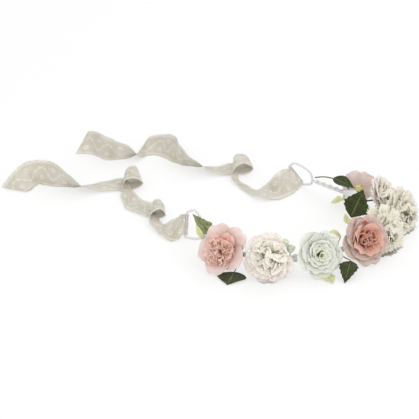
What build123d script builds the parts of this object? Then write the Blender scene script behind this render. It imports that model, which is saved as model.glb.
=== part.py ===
from build123d import *

# Flower crown: a ring of wrapped wire with an eye at each end, eight fabric flowers, ten leaves
# and two buds bound along it, and a lace ribbon sewn round the bar of each eye.
# Millimetres and degrees. The origin is the middle of the head ring, on the table that it lies on,
# +Z is up, and bearings are measured round the ring from +X towards +Y.

import os
from dataclasses import dataclass
from math import cos, pi, radians, sin, tan

# ------------------------------------------------------------------ driving dimensions

band_radius = 84.0            # head ring, to the middle of the wrapped band
band_height = 15.0            # middle of the band above the table
band_thick = 2.4              # the wrapped band, across the ring
band_depth = 5.0              # the wrapped band, up and down
band_start = 214.0            # bearing of the end towards the near eye
band_end = 400.0              # bearing of the end towards the far eye

wire_diameter = 2.3           # paper-covered wire of the eyes
strand_gap = 0.1              # between the two strands of a shank
bar_bend = 1.3                # bend radius of the wire at the ends of an eye's bar
leg_bend = 5.0                # bend radius along the bowed legs of an eye
shank_bend = 2.2              # bend radius where the legs meet the shank
shank_bound = 5.0             # length of the shank that lies in its binding

ribbon_width = 24.0
ribbon_thick = 0.7
hem_length = 20.5             # of the turned hem, along the bar
hem_wall = 0.7
hem_clearance = 0.3           # between the bar and the hem that turns on it, and at its ends

petal_thick = 0.5
petal_lift = 0.35             # underside of a petal above the seat of its whorl
claw_width = 2.4              # narrow inner end of a petal
core_height = 9.0
pleat_depth = 0.35            # of a ruffle, as a share of its radius
pleat_wall = 1.0              # taken off the radius of a ruffle for its inside
stamen_height = 5.0
stem_overlap = 1.0            # of a stem into its calyx
outer_hub_thick = 1.6         # glued middle of the outer whorl
middle_hub_thick = 0.9        # glued middle of the middle whorl
hub_radius = 3.2
claw_start = 2.2              # radius at which a petal leaves its hub
calyx_height = 3.0
calyx_radius = 4.5
stem_diameter = 1.6
stem_gap = 0.05               # glued joint between a stem and the band
table_gap = 0.3               # lowest petal edges above the table

leaf_thick = 0.5
leaf_fold = 14.0              # slope of each half of a leaf away from its midrib
leaf_stem_diameter = 1.2
binding_slack = 0.05          # between the tape and what it binds
drawn_radius = 84.0           # of the ring beside which the leaves and buds are drawn, and move with

os.makedirs("parts", exist_ok=True)


def save(piece, label):
    """Label a finished piece and write it as one STEP file."""
    piece.label = label
    export_step(piece, f"parts/{label}.step")


def heading(bearing, rise=0.0):
    """Unit vector at a bearing round Z, rising above the horizontal."""
    flat = cos(radians(rise))
    return Vector(flat * cos(radians(bearing)), flat * sin(radians(bearing)), sin(radians(rise)))


def ring_plane(bearing):
    """Upright plane through the ring's axis: x points out at the bearing and y is up."""
    return Plane(origin=(0, 0, 0), x_dir=heading(bearing), z_dir=heading(bearing - 90))


def band_point(bearing, out=0.0, up=0.0):
    """Point on or beside the middle line of the band."""
    return heading(bearing) * (band_radius + out) + Vector(0, 0, band_height + up)


def facing_plane(origin, facing):
    """Plane whose normal is the facing direction and whose x axis is horizontal."""
    return Plane(origin=origin, x_dir=Vector(0, 0, 1).cross(facing), z_dir=facing)


def flat_face(*corners):
    """Flat face with the given corners."""
    return Face(Wire.make_polygon(corners, close=True))


def make_frustum(lower, upper):
    """Flat-sided solid between two polygons with as many corners."""
    faces = [flat_face(*reversed(lower)), flat_face(*upper)]
    for number, (a, d) in enumerate(zip(lower, upper)):
        following = (number + 1) % len(lower)
        b, c = lower[following], upper[following]
        faces += [flat_face(a, b, c), flat_face(a, c, d)]
    return Solid(Shell(faces))


# ------------------------------------------------------------------ band and bindings

with BuildPart() as band:
    with BuildSketch(ring_plane(band_start)):
        with Locations((band_radius, band_height)):
            Rectangle(band_thick, band_depth)
    revolve(axis=Axis.Z, revolution_arc=band_end - band_start)
save(band.part, "wrapped_band")


bound_thick = max(band_thick, wire_diameter)
bound_depth = max(band_depth, 2 * wire_diameter + strand_gap)


def make_binding(start, stop, wall):
    """Sleeve of wound tape over the band, or over the wire bound to it, between two bearings."""
    with BuildPart() as binding:
        with BuildSketch(ring_plane(start)):
            with Locations((band_radius, band_height)):
                RectangleRounded(bound_thick + 2 * wall, bound_depth + 2 * wall, wall)
                Rectangle(bound_thick + 2 * binding_slack, bound_depth + 2 * binding_slack,
                          mode=Mode.SUBTRACT)
        revolve(axis=Axis.Z, revolution_arc=stop - start)
    return binding.part


bindings = {
    "near_binding": (band_start - 1.6, band_start + 5.0, 1.6),
    "front_binding": (275.0, 281.0, 1.0),
    "far_binding": (band_end - 11.0, band_end + 1.6, 3.0),
}


def cover(bearing):
    """Thickness of tape over the band at a bearing."""
    return max([wall + binding_slack for start, stop, wall in bindings.values()
                if start <= bearing % 360 <= stop or start <= bearing % 360 + 360 <= stop],
               default=0.0)


for name, (start, stop, wall) in bindings.items():
    save(make_binding(start, stop, wall), name)


# ------------------------------------------------------------------ eyes

@dataclass
class Eye:
    """Loop of wire at one end of the ring, drawn in its own plane from the foot of its bar."""
    name: str
    bearing: float            # end of the band that its shank is bound to
    outward: int              # +1 where bearings grow away from that end of the band, -1 where they fall
    foot: Vector              # lower end of the bar's middle line
    reach: Vector             # direction from the bar towards the shank
    rise: Vector              # direction of the bar, upwards
    crossing: tuple           # where the legs meet, along reach and rise
    upper_bow: list           # corners of the upper leg between the bar and the crossing
    lower_bow: list           # corners of the lower leg

    @property
    def bar_length(self):
        return hem_length + 2 * hem_clearance + 2 * bar_bend * 1.15

    def at(self, along, up):
        return self.foot + self.reach * along + self.rise * up


eyes = [
    Eye("near", band_start, -1, Vector(-88.6, -13.9, 1.4), Vector(0.818, -0.563, 0.116),
        Vector(0.077, 0.308, 0.948), (25.0, 7.8), [(10.0, 26.0)], [(15.0, 1.2)]),
    Eye("far", band_end, 1, Vector(25.1, 104.6, 1.4), Vector(0.609, -0.647, 0.458),
        Vector(-0.589, 0.017, 0.808), (17.0, 2.2), [(11.0, 25.5), (20.5, 13.0)], [(10.0, -1.2)]),
]


def make_eye(eye):
    """The eye's wire: bound end, shank, upper leg, bar, lower leg and back, as one length."""
    lift = Vector(0, 0, (wire_diameter + strand_gap) / 2)
    end = band_point(eye.bearing)
    bound = end + heading(eye.bearing + 90 * eye.outward) * shank_bound
    crossing = eye.at(*eye.crossing)
    upper = [crossing + lift] + [eye.at(*p) for p in reversed(eye.upper_bow)]
    lower = [eye.at(*p) for p in eye.lower_bow] + [crossing - lift]
    points = ([end + lift, bound + lift] + upper + [eye.at(0, eye.bar_length), eye.at(0, 0)]
              + lower + [bound - lift, end - lift])
    bends = ([leg_bend, shank_bend] + [leg_bend] * len(eye.upper_bow) + [bar_bend, bar_bend]
             + [leg_bend] * len(eye.lower_bow) + [shank_bend, leg_bend])
    with BuildPart() as loop:
        with BuildLine() as route:
            FilletPolyline(*points, radius=bends)
        with BuildSketch(Plane(origin=route.line @ 0, z_dir=route.line % 0)):
            Circle(wire_diameter / 2)
        sweep(path=route.line)
    return loop.part


for eye in eyes:
    save(make_eye(eye), f"{eye.name}_eye_wire")


# ------------------------------------------------------------------ wire stems

def stem_root(bearing, face):
    """Plane on a face of the band, or of the tape over it, where a wire stem ends."""
    over = cover(bearing) + stem_gap
    if face == "top":
        return Plane(origin=band_point(bearing, up=band_depth / 2 + over), z_dir=(0, 0, 1))
    side = 1 if face == "outer" else -1
    root = band_point(bearing, out=side * (band_thick / 2 + over))
    return Plane(origin=root, z_dir=heading(bearing) * side)


def stem_plane(root, target, diameter):
    """Plane square to a wire stem towards a point, with the stem's cut end clear of its root."""
    lean = (target - root.origin).normalized().cross(root.z_dir).length
    start = root.origin + root.z_dir * diameter / 2 * lean
    return Plane(origin=start, z_dir=target - start)


# ------------------------------------------------------------------ petals

def bent_line(start, steps):
    """Points of a bent sheet's side view: each step is a run and the slope that it rises at."""
    points = [start]
    for run, slope in steps:
        x, z = points[-1]
        points.append((x + run * cos(radians(slope)), z + run * sin(radians(slope))))
    return points


def upper_line(start, steps, thick):
    """Points of the same bent line moved out square to each step, with mitred corners."""
    slopes = [radians(slope) for _, slope in steps]
    before = [slopes[0]] + slopes
    after = slopes + [slopes[-1]]
    points = []
    for (x, z), low, high in zip(bent_line(start, steps), before, after):
        mitre = (low + high) / 2
        reach = thick / cos((high - low) / 2)
        points.append((x - reach * sin(mitre), z + reach * cos(mitre)))
    return points


def make_petal(steps, roll, half_width, outline):
    """One petal along +X: a sheet bent upwards, rolled about X and cut to its outline from above."""
    flat = Plane.XY.rotated((roll, 0, 0))
    upright = Plane(origin=(0, 0, 0), x_dir=flat.x_dir, z_dir=-flat.y_dir)
    start = (claw_start, petal_lift)
    side = bent_line(start, steps)
    with BuildPart() as petal:
        with BuildSketch(upright):
            with BuildLine():
                Polyline(*side, *reversed(upper_line(start, steps, petal_thick)), close=True)
            make_face()
        extrude(amount=half_width + 1, both=True)
        with BuildSketch(flat):
            add(outline)
        extrude(amount=side[-1][1] + 2, both=True, mode=Mode.INTERSECT)
    return petal.part


def round_outline(length, width):
    """Drop-shaped petal: a narrow claw at the hub and a round tip."""
    tip = width / 2
    with BuildSketch() as outline:
        with Locations((length - tip, 0)):
            Circle(tip)
        with Locations((claw_start, 0)):
            Circle(claw_width / 2)
        make_hull()
    return outline.sketch


def cut_outline(length, width, teeth):
    """Straight-sided petal that widens to a toothed edge."""
    tooth = width / teeth
    depth = min(tooth, 0.2 * length)
    edge = []
    for number in range(teeth):
        y = -width / 2 + number * tooth
        edge += [(length - depth, y), (length, y + tooth / 2)]
    edge.append((length - depth, width / 2))
    with BuildSketch() as outline:
        with BuildLine():
            Polyline((claw_start - 0.2, claw_width / 2), (claw_start - 0.2, -claw_width / 2), *edge,
                     close=True)
        make_face()
    return outline.sketch


def make_whorl(seat, count, hub_thick, petal, turn):
    """Petals standing round a glued middle, all on one seat plane."""
    with BuildPart(seat) as whorl:
        Cylinder(hub_radius, hub_thick, align=(Align.CENTER, Align.CENTER, Align.MIN))
        with PolarLocations(0, count, start_angle=turn):
            add(petal)
    return whorl.part


# ------------------------------------------------------------------ flower cores

def zigzag(plane, outer, depth, points):
    """Corners of a closed zigzag on a plane, the inner ones a share of the radius further in."""
    corners = []
    for step in range(2 * points):
        radius = outer if step % 2 else outer * (1 - depth)
        angle = pi * step / points
        corners.append(plane.from_local_coords(Vector(radius * cos(angle), radius * sin(angle), 0)))
    return corners


def make_ruffle(seat, foot, top, height, pleats):
    """Gathered strip of fabric: a pleated wall that flares from its foot to its top."""
    rim = seat.offset(height)
    outside = make_frustum(zigzag(seat, foot, pleat_depth, pleats), zigzag(rim, top, pleat_depth, pleats))
    inside = make_frustum(zigzag(seat.offset(petal_thick), foot - pleat_wall, pleat_depth, pleats),
                          zigzag(rim, top - pleat_wall, pleat_depth, pleats))
    with BuildPart() as ruffle:
        add(outside)
        add(inside, mode=Mode.SUBTRACT)
    return ruffle.part


def make_ruffled_core(seat, radius):
    """Heart of a full rose: two pleated strips, one inside the other."""
    with BuildPart() as core:
        add(make_ruffle(seat, 0.55 * radius, radius, core_height, 9))
        add(make_ruffle(seat, 0.25 * radius, 0.55 * radius, core_height + 1.0, 7))
    return core.part


def make_spiral_core(seat, radius):
    """Heart of the open rose: one strip of fabric wound outwards from the middle."""
    pitch = radius / 5
    with BuildPart() as core:
        with BuildSketch(seat):
            with BuildLine():
                x = 0.0
                for half_turn in range(1, 5):
                    side = 1 if half_turn % 2 else -1
                    across = (2 * half_turn - 1) * pitch
                    RadiusArc((x, 0), (x - side * across, 0), across / 2)
                    x -= side * across
                offset(amount=petal_thick / 2, side=Side.BOTH)
            make_face()
        extrude(amount=core_height)
        with BuildSketch(seat):
            RegularPolygon(0.8 * radius, 12)
        extrude(amount=petal_thick)
    return core.part


def make_stamen_core(seat, radius):
    """Round pad with a ring of short stamens."""
    pad = 0.35 * stamen_height
    with BuildPart() as core:
        with BuildSketch(seat):
            RegularPolygon(radius, 12)
        extrude(amount=pad)
        with BuildSketch(seat.offset(pad)):
            with PolarLocations(0.72 * radius, 6):
                RegularPolygon(0.16 * radius, 4)
            RegularPolygon(0.25 * radius, 6)
        extrude(amount=stamen_height - pad)
    return core.part


# ------------------------------------------------------------------ flowers

@dataclass
class Flower:
    """One flower: where it is bound to the band, which way it looks, and its rings of petals."""
    name: str
    bearing: float            # of its stem on the band
    facing: float             # bearing that it looks towards
    tilt: float               # how far it looks up
    stand_off: float          # from the band's outer face to the foot of the calyx, outwards
    outer: float              # radius of the outer whorl
    middle: float             # radius of the middle whorl
    core: float               # radius of the core
    kind: str                 # rose, pom, spiral, serrated or open
    lift: float = 0.0         # raised above the table by a leaf that lies under it
    turn: float = -90.0       # bearing of the first petal in its own plane, -90 is straight down

    @property
    def outer_steps(self):
        """Flat under the cup of the middle whorl, then rising and curling back."""
        flat = self.core + 2.4 - claw_start
        rest = self.outer - self.core - 2.4
        return [(flat, 0), (0.72 * rest, 30), (0.42 * rest, 8)]

    @property
    def middle_steps(self):
        """Cup that holds the core, then an open rim."""
        rest = self.middle - self.core - 1.1
        return [(self.core + 1.1 - claw_start, 0), (6.0, 66), (1.2 * (rest - 2.5), 32)]

    @property
    def rim_rise(self):
        """Height of the outer whorl's rim above the foot of the calyx, along the flower's axis."""
        return calyx_height + bent_line((0, petal_lift), self.outer_steps)[-1][1]

    @property
    def foot(self):
        """Foot of the calyx, at the height that stands the flower's rim on the table."""
        height = (self.outer * cos(radians(self.tilt)) - self.rim_rise * sin(radians(self.tilt))
                  + table_gap + self.lift)
        flat = heading(self.bearing) * (band_radius + band_thick / 2 + self.stand_off)
        return Vector(flat.X, flat.Y, height)

    @property
    def seat(self):
        return facing_plane(self.foot, heading(self.facing, self.tilt))


flowers = [
    Flower("near_rose", 235, 240, 36, 4.0, 23.0, 17.0, 10.0, "rose", lift=2.4),
    Flower("carnation", 262, 262, 26, 3.0, 22.5, 17.5, 11.0, "pom"),
    Flower("white_rose", 289, 289, 22, 3.0, 21.0, 16.0, 8.0, "spiral", lift=2.4),
    Flower("front_rose", 322, 298, 25, 3.0, 23.5, 18.0, 12.0, "rose"),
    Flower("cream_flower", 340.0, 313, 20, 8.0, 18.5, 13.5, 5.0, "serrated"),
    Flower("side_flower", 5, 322, 20, 22.0, 19.5, 14.5, 6.0, "serrated"),
    Flower("far_flower", 25, 332, 25, 17.0, 18.5, 13.5, 5.0, "serrated"),
    Flower("far_rose", 39, 76, 2, 12.0, 16.5, 12.0, 4.5, "open"),
]


def make_stem(flower):
    """Calyx with five sepals, on a wire stem that ends on the outside of the band."""
    start = stem_plane(stem_root(flower.bearing, "outer"), flower.foot, stem_diameter)
    with BuildPart() as stem:
        with BuildSketch(start):
            Circle(stem_diameter / 2)
        extrude(amount=(flower.foot - start.origin).length + stem_overlap)
        add(make_frustum(zigzag(flower.seat, calyx_radius / 2, 0.1, 5),
                         zigzag(flower.seat.offset(calyx_height), calyx_radius, 0.5, 5)))
    return stem.part


for flower in flowers:
    save(make_stem(flower), f"{flower.name}_stem")

    round_petals = flower.kind in ("rose", "spiral", "open")
    if round_petals:
        count, roll = 5, 5
        width = 0.92 * flower.outer
        outline = round_outline(flower.outer, width)
    else:
        count, roll = 8, 4
        width = 0.66 * flower.outer
        outline = cut_outline(flower.outer, width, 3)
    petal = make_petal(flower.outer_steps, roll, width / 2, outline)
    outer_seat = flower.seat.offset(calyx_height)
    save(make_whorl(outer_seat, count, outer_hub_thick, petal, flower.turn),
         f"{flower.name}_outer_petals")

    width = 1.08 * (flower.core + 2.5)
    outline = cut_outline(flower.middle, width, 2 if round_petals else 3)
    petal = make_petal(flower.middle_steps, 0, width / 2, outline)
    middle_seat = outer_seat.offset(outer_hub_thick)
    save(make_whorl(middle_seat, 5, middle_hub_thick, petal, flower.turn + 36),
         f"{flower.name}_middle_petals")

    core_seat = middle_seat.offset(middle_hub_thick)
    if flower.kind in ("rose", "pom"):
        core = make_ruffled_core(core_seat, flower.core)
    elif flower.kind == "spiral":
        core = make_spiral_core(core_seat, flower.core)
    else:
        core = make_stamen_core(core_seat, flower.core)
    save(core, f"{flower.name}_core")


# ------------------------------------------------------------------ leaves

@dataclass
class Leaf:
    """One fabric leaf from its base to its tip, on a wire stem bound to the band."""
    name: str
    bearing: float            # of its stem on the band
    face: str                 # of the band that its stem ends on: outer, inner or top
    base: Vector
    tip: Vector
    look: Vector              # rough direction that its upper side faces
    width: float
    teeth: int                # along each edge, 1 for a smooth leaf
    fold: float = leaf_fold
    tail: Vector = None       # free end of its stem past its base, where it has one

    def __post_init__(self):
        """Keep the leaf beside the band when the radius of the band changes."""
        out = heading(self.bearing) * (band_radius - drawn_radius)
        self.base += out
        self.tip += out
        if self.tail:
            self.tail += out

    @property
    def plane(self):
        along = (self.tip - self.base).normalized()
        up = self.look - along * self.look.dot(along)
        return Plane(origin=self.base, x_dir=along, z_dir=up.normalized())

    @property
    def length(self):
        return (self.tip - self.base).length


leaves = [
    Leaf("near_variegated_leaf", 217, "top", Vector(-65.7, -50, 23.5), Vector(-81.3, -30, 32.9),
         Vector(-0.2, -0.8, 0.6), 12.0, 4),
    Leaf("near_pale_leaf", 218, "outer", Vector(-71.9, -52.0, 19.4), Vector(-77.8, -46, 29.5),
         Vector(-0.5, -0.8, 0.3), 6.0, 1),
    Leaf("front_dark_leaf", 245, "outer", Vector(-44.0, -84.0, 1.4), Vector(-50.6, -108, 0.8),
         Vector(0, 0, 1), 25.0, 1, fold=3.0),
    Leaf("front_pale_leaf", 296, "outer", Vector(35.5, -86.0, 1.6), Vector(42.3, -106, 1.0),
         Vector(0, 0, 1), 13.0, 1, fold=3.0),
    Leaf("front_serrated_leaf", 303, "outer", Vector(59.5, -79, 9.5), Vector(52.6, -105, 1.2),
         Vector(0, -0.3, 1), 17.0, 6),
    Leaf("inner_pale_leaf", 306, "inner", Vector(51.0, -60, 25.0), Vector(38.4, -66, 31.2),
         Vector(0, -0.5, 1), 9.0, 1),
    Leaf("upright_serrated_leaf", 6, "inner", Vector(65.0, 8, 12.0), Vector(76.5, 18, 33.5),
         Vector(0, -1, 0.5), 23.0, 7),
    Leaf("inner_small_leaf", 358, "inner", Vector(62.0, -3.0, 10.1), Vector(59.0, 1.0, 19.0),
         Vector(-0.3, -1, 0.4), 6.0, 1),
    Leaf("far_dark_leaf", 38, "top", Vector(51.3, 64, 26.1), Vector(70.5, 49.5, 22.5),
         Vector(0, -0.5, 1), 13.0, 1, tail=Vector(35.0, 78.0, 20.9)),
    Leaf("far_pale_leaf", 40, "inner", Vector(61.0, 46.5, 12.0), Vector(49.4, 54, 5.1),
         Vector(0, -0.5, 1), 10.0, 2),
]


def leaf_outline(length, width, teeth):
    """Half-width grows and shrinks along the leaf, and each tooth points towards the tip."""
    edge = []
    count = 3 if teeth == 1 else teeth
    for number in range(count):
        front = (number + 1) / (count + 1)
        half = 0.5 * width * sin(pi * front ** 0.8) ** 0.8
        edge.append((front * length, half))
        if teeth > 1:
            edge.append(((front + 0.02) * length, 0.8 * half))
    return [(0, 0)] + edge + [(length, 0)] + [(x, -y) for x, y in reversed(edge)]


def make_leaf(leaf):
    """Leaf folded along its midrib and cut to its outline, with its stem."""
    half = leaf.width / 2 + 1
    drop = half * tan(radians(leaf.fold))
    across = Plane(origin=leaf.base, x_dir=leaf.plane.y_dir, z_dir=leaf.plane.x_dir)
    start = stem_plane(stem_root(leaf.bearing, leaf.face), leaf.base, leaf_stem_diameter)
    with BuildPart() as blade:
        with BuildSketch(across):
            with BuildLine():
                Polyline((-half, drop), (0, 0), (half, drop), (half, drop + leaf_thick),
                         (0, leaf_thick), (-half, drop + leaf_thick), close=True)
            make_face()
        extrude(amount=leaf.length)
        with BuildSketch(leaf.plane):
            with BuildLine():
                Polyline(*leaf_outline(leaf.length, leaf.width, leaf.teeth), close=True)
            make_face()
        extrude(amount=half, both=True, mode=Mode.INTERSECT)
    with BuildPart() as whole:
        add(blade.part)
        with BuildSketch(start):
            Circle(leaf_stem_diameter / 2)
        extrude(amount=(leaf.base - start.origin).length + stem_overlap)
        if leaf.tail:
            with BuildSketch(Plane(origin=leaf.base, z_dir=leaf.tail - leaf.base)):
                Circle(leaf_stem_diameter / 2)
            extrude(amount=(leaf.tail - leaf.base).length)
    return whole.part


for leaf in leaves:
    save(make_leaf(leaf), leaf.name)


# ------------------------------------------------------------------ buds

def make_bud(bearing, centre, size):
    """Closed bud on a wire stem from the top edge of the band, moving with the band's radius."""
    centre += heading(bearing) * (band_radius - drawn_radius)
    start = stem_plane(stem_root(bearing, "top"), centre, leaf_stem_diameter)
    along = start.z_dir
    with BuildPart() as bud:
        with BuildSketch(start):
            Circle(leaf_stem_diameter / 2)
        extrude(amount=(centre - start.origin).length)
        heel, waist, point = [
            zigzag(Plane(origin=centre + along * share * size, z_dir=along), across * size, 0.0, 3)
            for share, across in ((-0.5, 0.3), (0.0, 0.5), (0.6, 0.2))]
        add(make_frustum(heel, waist))
        add(make_frustum(waist, point))
    return bud.part


save(make_bud(270.5, Vector(0.3, -84.0, 30.0), 5.0), "upper_bud")
save(make_bud(273.5, Vector(5.5, -84.5, 24.5), 4.5), "lower_bud")


# ------------------------------------------------------------------ ribbons

# Each ribbon starts at its cut end, arches up on one edge, lies flat, and rolls over in a small curl
# before it climbs to the bar of its eye. A station is a point on its middle line, with the bearing
# and the rise of the direction across it there. A curl passes over the flat stretch, never through.
near_stations = [
    (-256, 93, 1.4, 160, 0), (-244, 104, 10, 142, 48), (-236, 110, 12, 160, 68),
    (-225, 108, 12, 60, 76), (-213, 99, 12.5, -80, 78), (-201, 93, 10.5, -90, 52),
    (-189, 91, 6, -90, 25), (-177, 97, 3, -90, 9), (-167, 101, 1.8, -90, 2),
    (-157, 103, 2, -90, -3), (-146, 104, 2, -90, -3), (-137, 105, 4, -86, -2),
    (-133, 104, 9, -80, 0), (-138, 104, 15, -88, -3), (-146, 103, 14, -94, -8),
    (-149, 98, 9, -95, -12), (-148, 88, 4.5, -104, -8), (-144, 74, 2.4, -109, -3),
    (-138, 60, 1.6, -124, 0), (-130, 52, 1.6, -135, 0), (-121, 43, 1.8, -122, 0),
    (-113, 37, 2.5, -103, 0), (-108, 34, 6.5, -84, 0), (-112.5, 36, 12, -88, 3),
    (-119.5, 35, 9.5, -95, -4), (-120, 27, 5, -98, -3), (-116, 15, 3, -95, 0),
    (-111, 3, 2.6, -91, 3), (-105, -5, 4, -91, -12), (-97, -11, 8.4, -95, -40),
]
far_stations = [
    (-195, 187, 10.8, 38, 52), (-183, 181, 12.6, 0, 75), (-169, 167, 12.6, -20, 78),
    (-156, 162, 12, -80, 66), (-145, 164, 10, -90, 47), (-138, 173, 5, -90, 18),
    (-133, 184, 2.6, -90, -4), (-127, 190, 6, -92, -26), (-115, 187, 8, -98, -36),
    (-104, 170, 12, -112, -64), (-96, 153, 12, 100, -72), (-85, 142, 9.5, 90, -45),
    (-74, 138, 6.5, 90, -27), (-63, 138, 3, 90, -10), (-53, 139, 2, 90, -3),
    (-44, 141, 2, 90, 3), (-34, 141, 2.4, 92, 2), (-27, 141, 5, 97, 0),
    (-25.5, 141, 9, 101, 0), (-33, 141, 13.5, 95, 0), (-40, 138, 12, 90, 5),
    (-43, 131, 7.5, 84, 8), (-40, 119, 3.5, 84, 3), (-36, 105, 1.8, 100, 0),
    (-28, 91, 1.8, 101, -2), (-18, 80, 3.5, 97, -10), (-8, 81, 5.5, 98, 16),
    (2, 81, 11, 112, 55), (11, 91, 11.5, 142, 60),
]


def make_hem(eye):
    """Turned hem of a ribbon: a sewn tube that hangs loosely on the bar of its eye."""
    bore = wire_diameter / 2 + hem_clearance
    start = eye.at(0, (eye.bar_length - hem_length) / 2)
    with BuildPart() as hem:
        with BuildSketch(Plane(origin=start, x_dir=eye.reach, z_dir=eye.rise)):
            Circle(bore + hem_wall)
            Circle(bore, mode=Mode.SUBTRACT)
        extrude(amount=hem_length)
    return hem.part


def make_strip(eye, stations):
    """Ribbon as a thin closed sheet through its stations, ending in the wall of the hem."""
    middles = [Vector(x, y, z) for x, y, z, _, _ in stations]
    across = [heading(bearing, rise) for _, _, _, bearing, rise in stations]
    bar = eye.at(0, eye.bar_length / 2)
    inward = (middles[-1] - bar) - eye.rise * (middles[-1] - bar).dot(eye.rise)
    wall = wire_diameter / 2 + hem_clearance + hem_wall / 2
    middles.append(bar + inward.normalized() * wall)
    side = 1 if across[-1].dot(eye.rise) > 0 else -1
    across.append(eye.rise * side)

    rings = []
    for number, (middle, cross) in enumerate(zip(middles, across)):
        before = middles[max(number - 1, 0)]
        after = middles[min(number + 1, len(middles) - 1)]
        half = (hem_length if number == len(middles) - 1 else ribbon_width) / 2
        up = (after - before).cross(cross).normalized() * ribbon_thick / 2
        edge = cross * half
        rings.append([middle - edge - up, middle + edge - up, middle + edge + up, middle - edge + up])

    faces = []
    for first, second in zip(rings, rings[1:]):
        for corner in range(4):
            following = (corner + 1) % 4
            a, b, c, d = first[corner], first[following], second[following], second[corner]
            # Both sides of the sheet are creased along the same diagonal, so that they stay parallel.
            if corner < 2:
                faces += [flat_face(a, b, c), flat_face(a, c, d)]
            else:
                faces += [flat_face(a, b, d), flat_face(b, c, d)]
    for a, b, c, d in (reversed(rings[0]), rings[-1]):
        faces += [flat_face(a, b, c), flat_face(a, c, d)]
    return Solid(Shell(faces))


for eye, stations in zip(eyes, (near_stations, far_stations)):
    hem = make_hem(eye)
    strip = make_strip(eye, stations)
    with BuildPart() as ribbon:
        add(hem)
        add(strip)
    save(ribbon.part, f"{eye.name}_ribbon")
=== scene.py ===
"""Flower crown on a pale table: cloth flowers and leaves on a taped ring, with a lace ribbon at each end.

Sizes in the classes are millimetres and degrees; meshes are written in metres.
"""

import logging
import math
from dataclasses import dataclass, field
from enum import Enum
from typing import Any, Sequence

import bpy
import numpy as np
from mathutils import Matrix, Vector


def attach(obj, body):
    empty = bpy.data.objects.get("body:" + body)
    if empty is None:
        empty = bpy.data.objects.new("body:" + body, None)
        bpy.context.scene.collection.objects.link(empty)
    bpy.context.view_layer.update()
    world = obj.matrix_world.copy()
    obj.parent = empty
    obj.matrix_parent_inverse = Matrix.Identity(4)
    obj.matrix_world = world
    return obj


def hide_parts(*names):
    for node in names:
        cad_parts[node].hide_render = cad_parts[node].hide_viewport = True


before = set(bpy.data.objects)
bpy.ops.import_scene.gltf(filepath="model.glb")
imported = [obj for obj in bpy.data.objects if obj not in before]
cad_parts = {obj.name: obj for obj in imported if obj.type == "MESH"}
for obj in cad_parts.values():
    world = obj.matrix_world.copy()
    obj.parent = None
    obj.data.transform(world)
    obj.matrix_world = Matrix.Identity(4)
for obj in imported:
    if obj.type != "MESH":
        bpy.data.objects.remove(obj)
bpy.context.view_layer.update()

log = logging.getLogger("flower_crown")

MM = 0.001
TAU = 2 * math.pi
GOLDEN = math.pi * (3 - math.sqrt(5))  # the angle that spreads points evenly over a dome
STEEP = 0.9  # upward share of a unit direction from which it counts as upright

Colour = tuple[float, float, float]
Array = np.ndarray

X_AXIS = np.array([1.0, 0.0, 0.0])
UPWARDS = np.array([0.0, 0.0, 1.0])


# ---------------------------------------------------------------- colours, directions and places

def dye(red: int, green: int, blue: int) -> Colour:
    """Linear colour of a dye from its display values, each from 0 to 255."""
    return tuple(((value / 255 + 0.055) / 1.055) ** 2.4 for value in (red, green, blue))


def heading(bearing: float, rise: float = 0.0) -> Array:
    """Unit vector at a bearing round Z, rising above the horizontal.

    Args:
        bearing: Degrees from +X towards +Y.
        rise: Degrees above the horizontal.

    Returns:
        The unit vector.
    """
    b, r = math.radians(bearing), math.radians(rise)
    return np.array([math.cos(r) * math.cos(b), math.cos(r) * math.sin(b), math.sin(r)])


def unit(vector: Array) -> Array:
    """Vector or rows of vectors scaled to length one."""
    size = np.linalg.norm(vector, axis=-1, keepdims=True)
    return vector / np.maximum(size, 1e-9)


@dataclass(frozen=True)
class Seat:
    """A place and the three directions of what stands on it."""

    origin: Array
    x: Array
    y: Array
    z: Array

    @staticmethod
    def facing(origin: Array, axis: Array) -> "Seat":
        """Seat whose z looks along an axis and whose y is as upright as it can be.

        Args:
            origin: Its place.
            axis: Direction it looks in.

        Returns:
            The seat.
        """
        z = unit(np.asarray(axis, float))
        x = unit(np.cross(UPWARDS, z))
        return Seat(np.asarray(origin, float), x, np.cross(z, x), z)

    def raised(self, height: float, over: float = 0.0, up: float = 0.0) -> "Seat":
        """The same seat further along its own z, and moved over and up in its own plane."""
        return Seat(self.origin + self.z * height + self.x * over + self.y * up, self.x, self.y, self.z)

    def place(self, points: Array) -> Array:
        """Points of the seat's own axes, in the crown's frame."""
        return (self.origin + points[..., :1] * self.x + points[..., 1:2] * self.y
                + points[..., 2:3] * self.z)


def run_along(path: Array) -> Array:
    """Distance of each point of a path from the first, along it."""
    return np.concatenate([[0.0], np.cumsum(np.linalg.norm(np.diff(path, axis=0), axis=1))])


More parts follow.
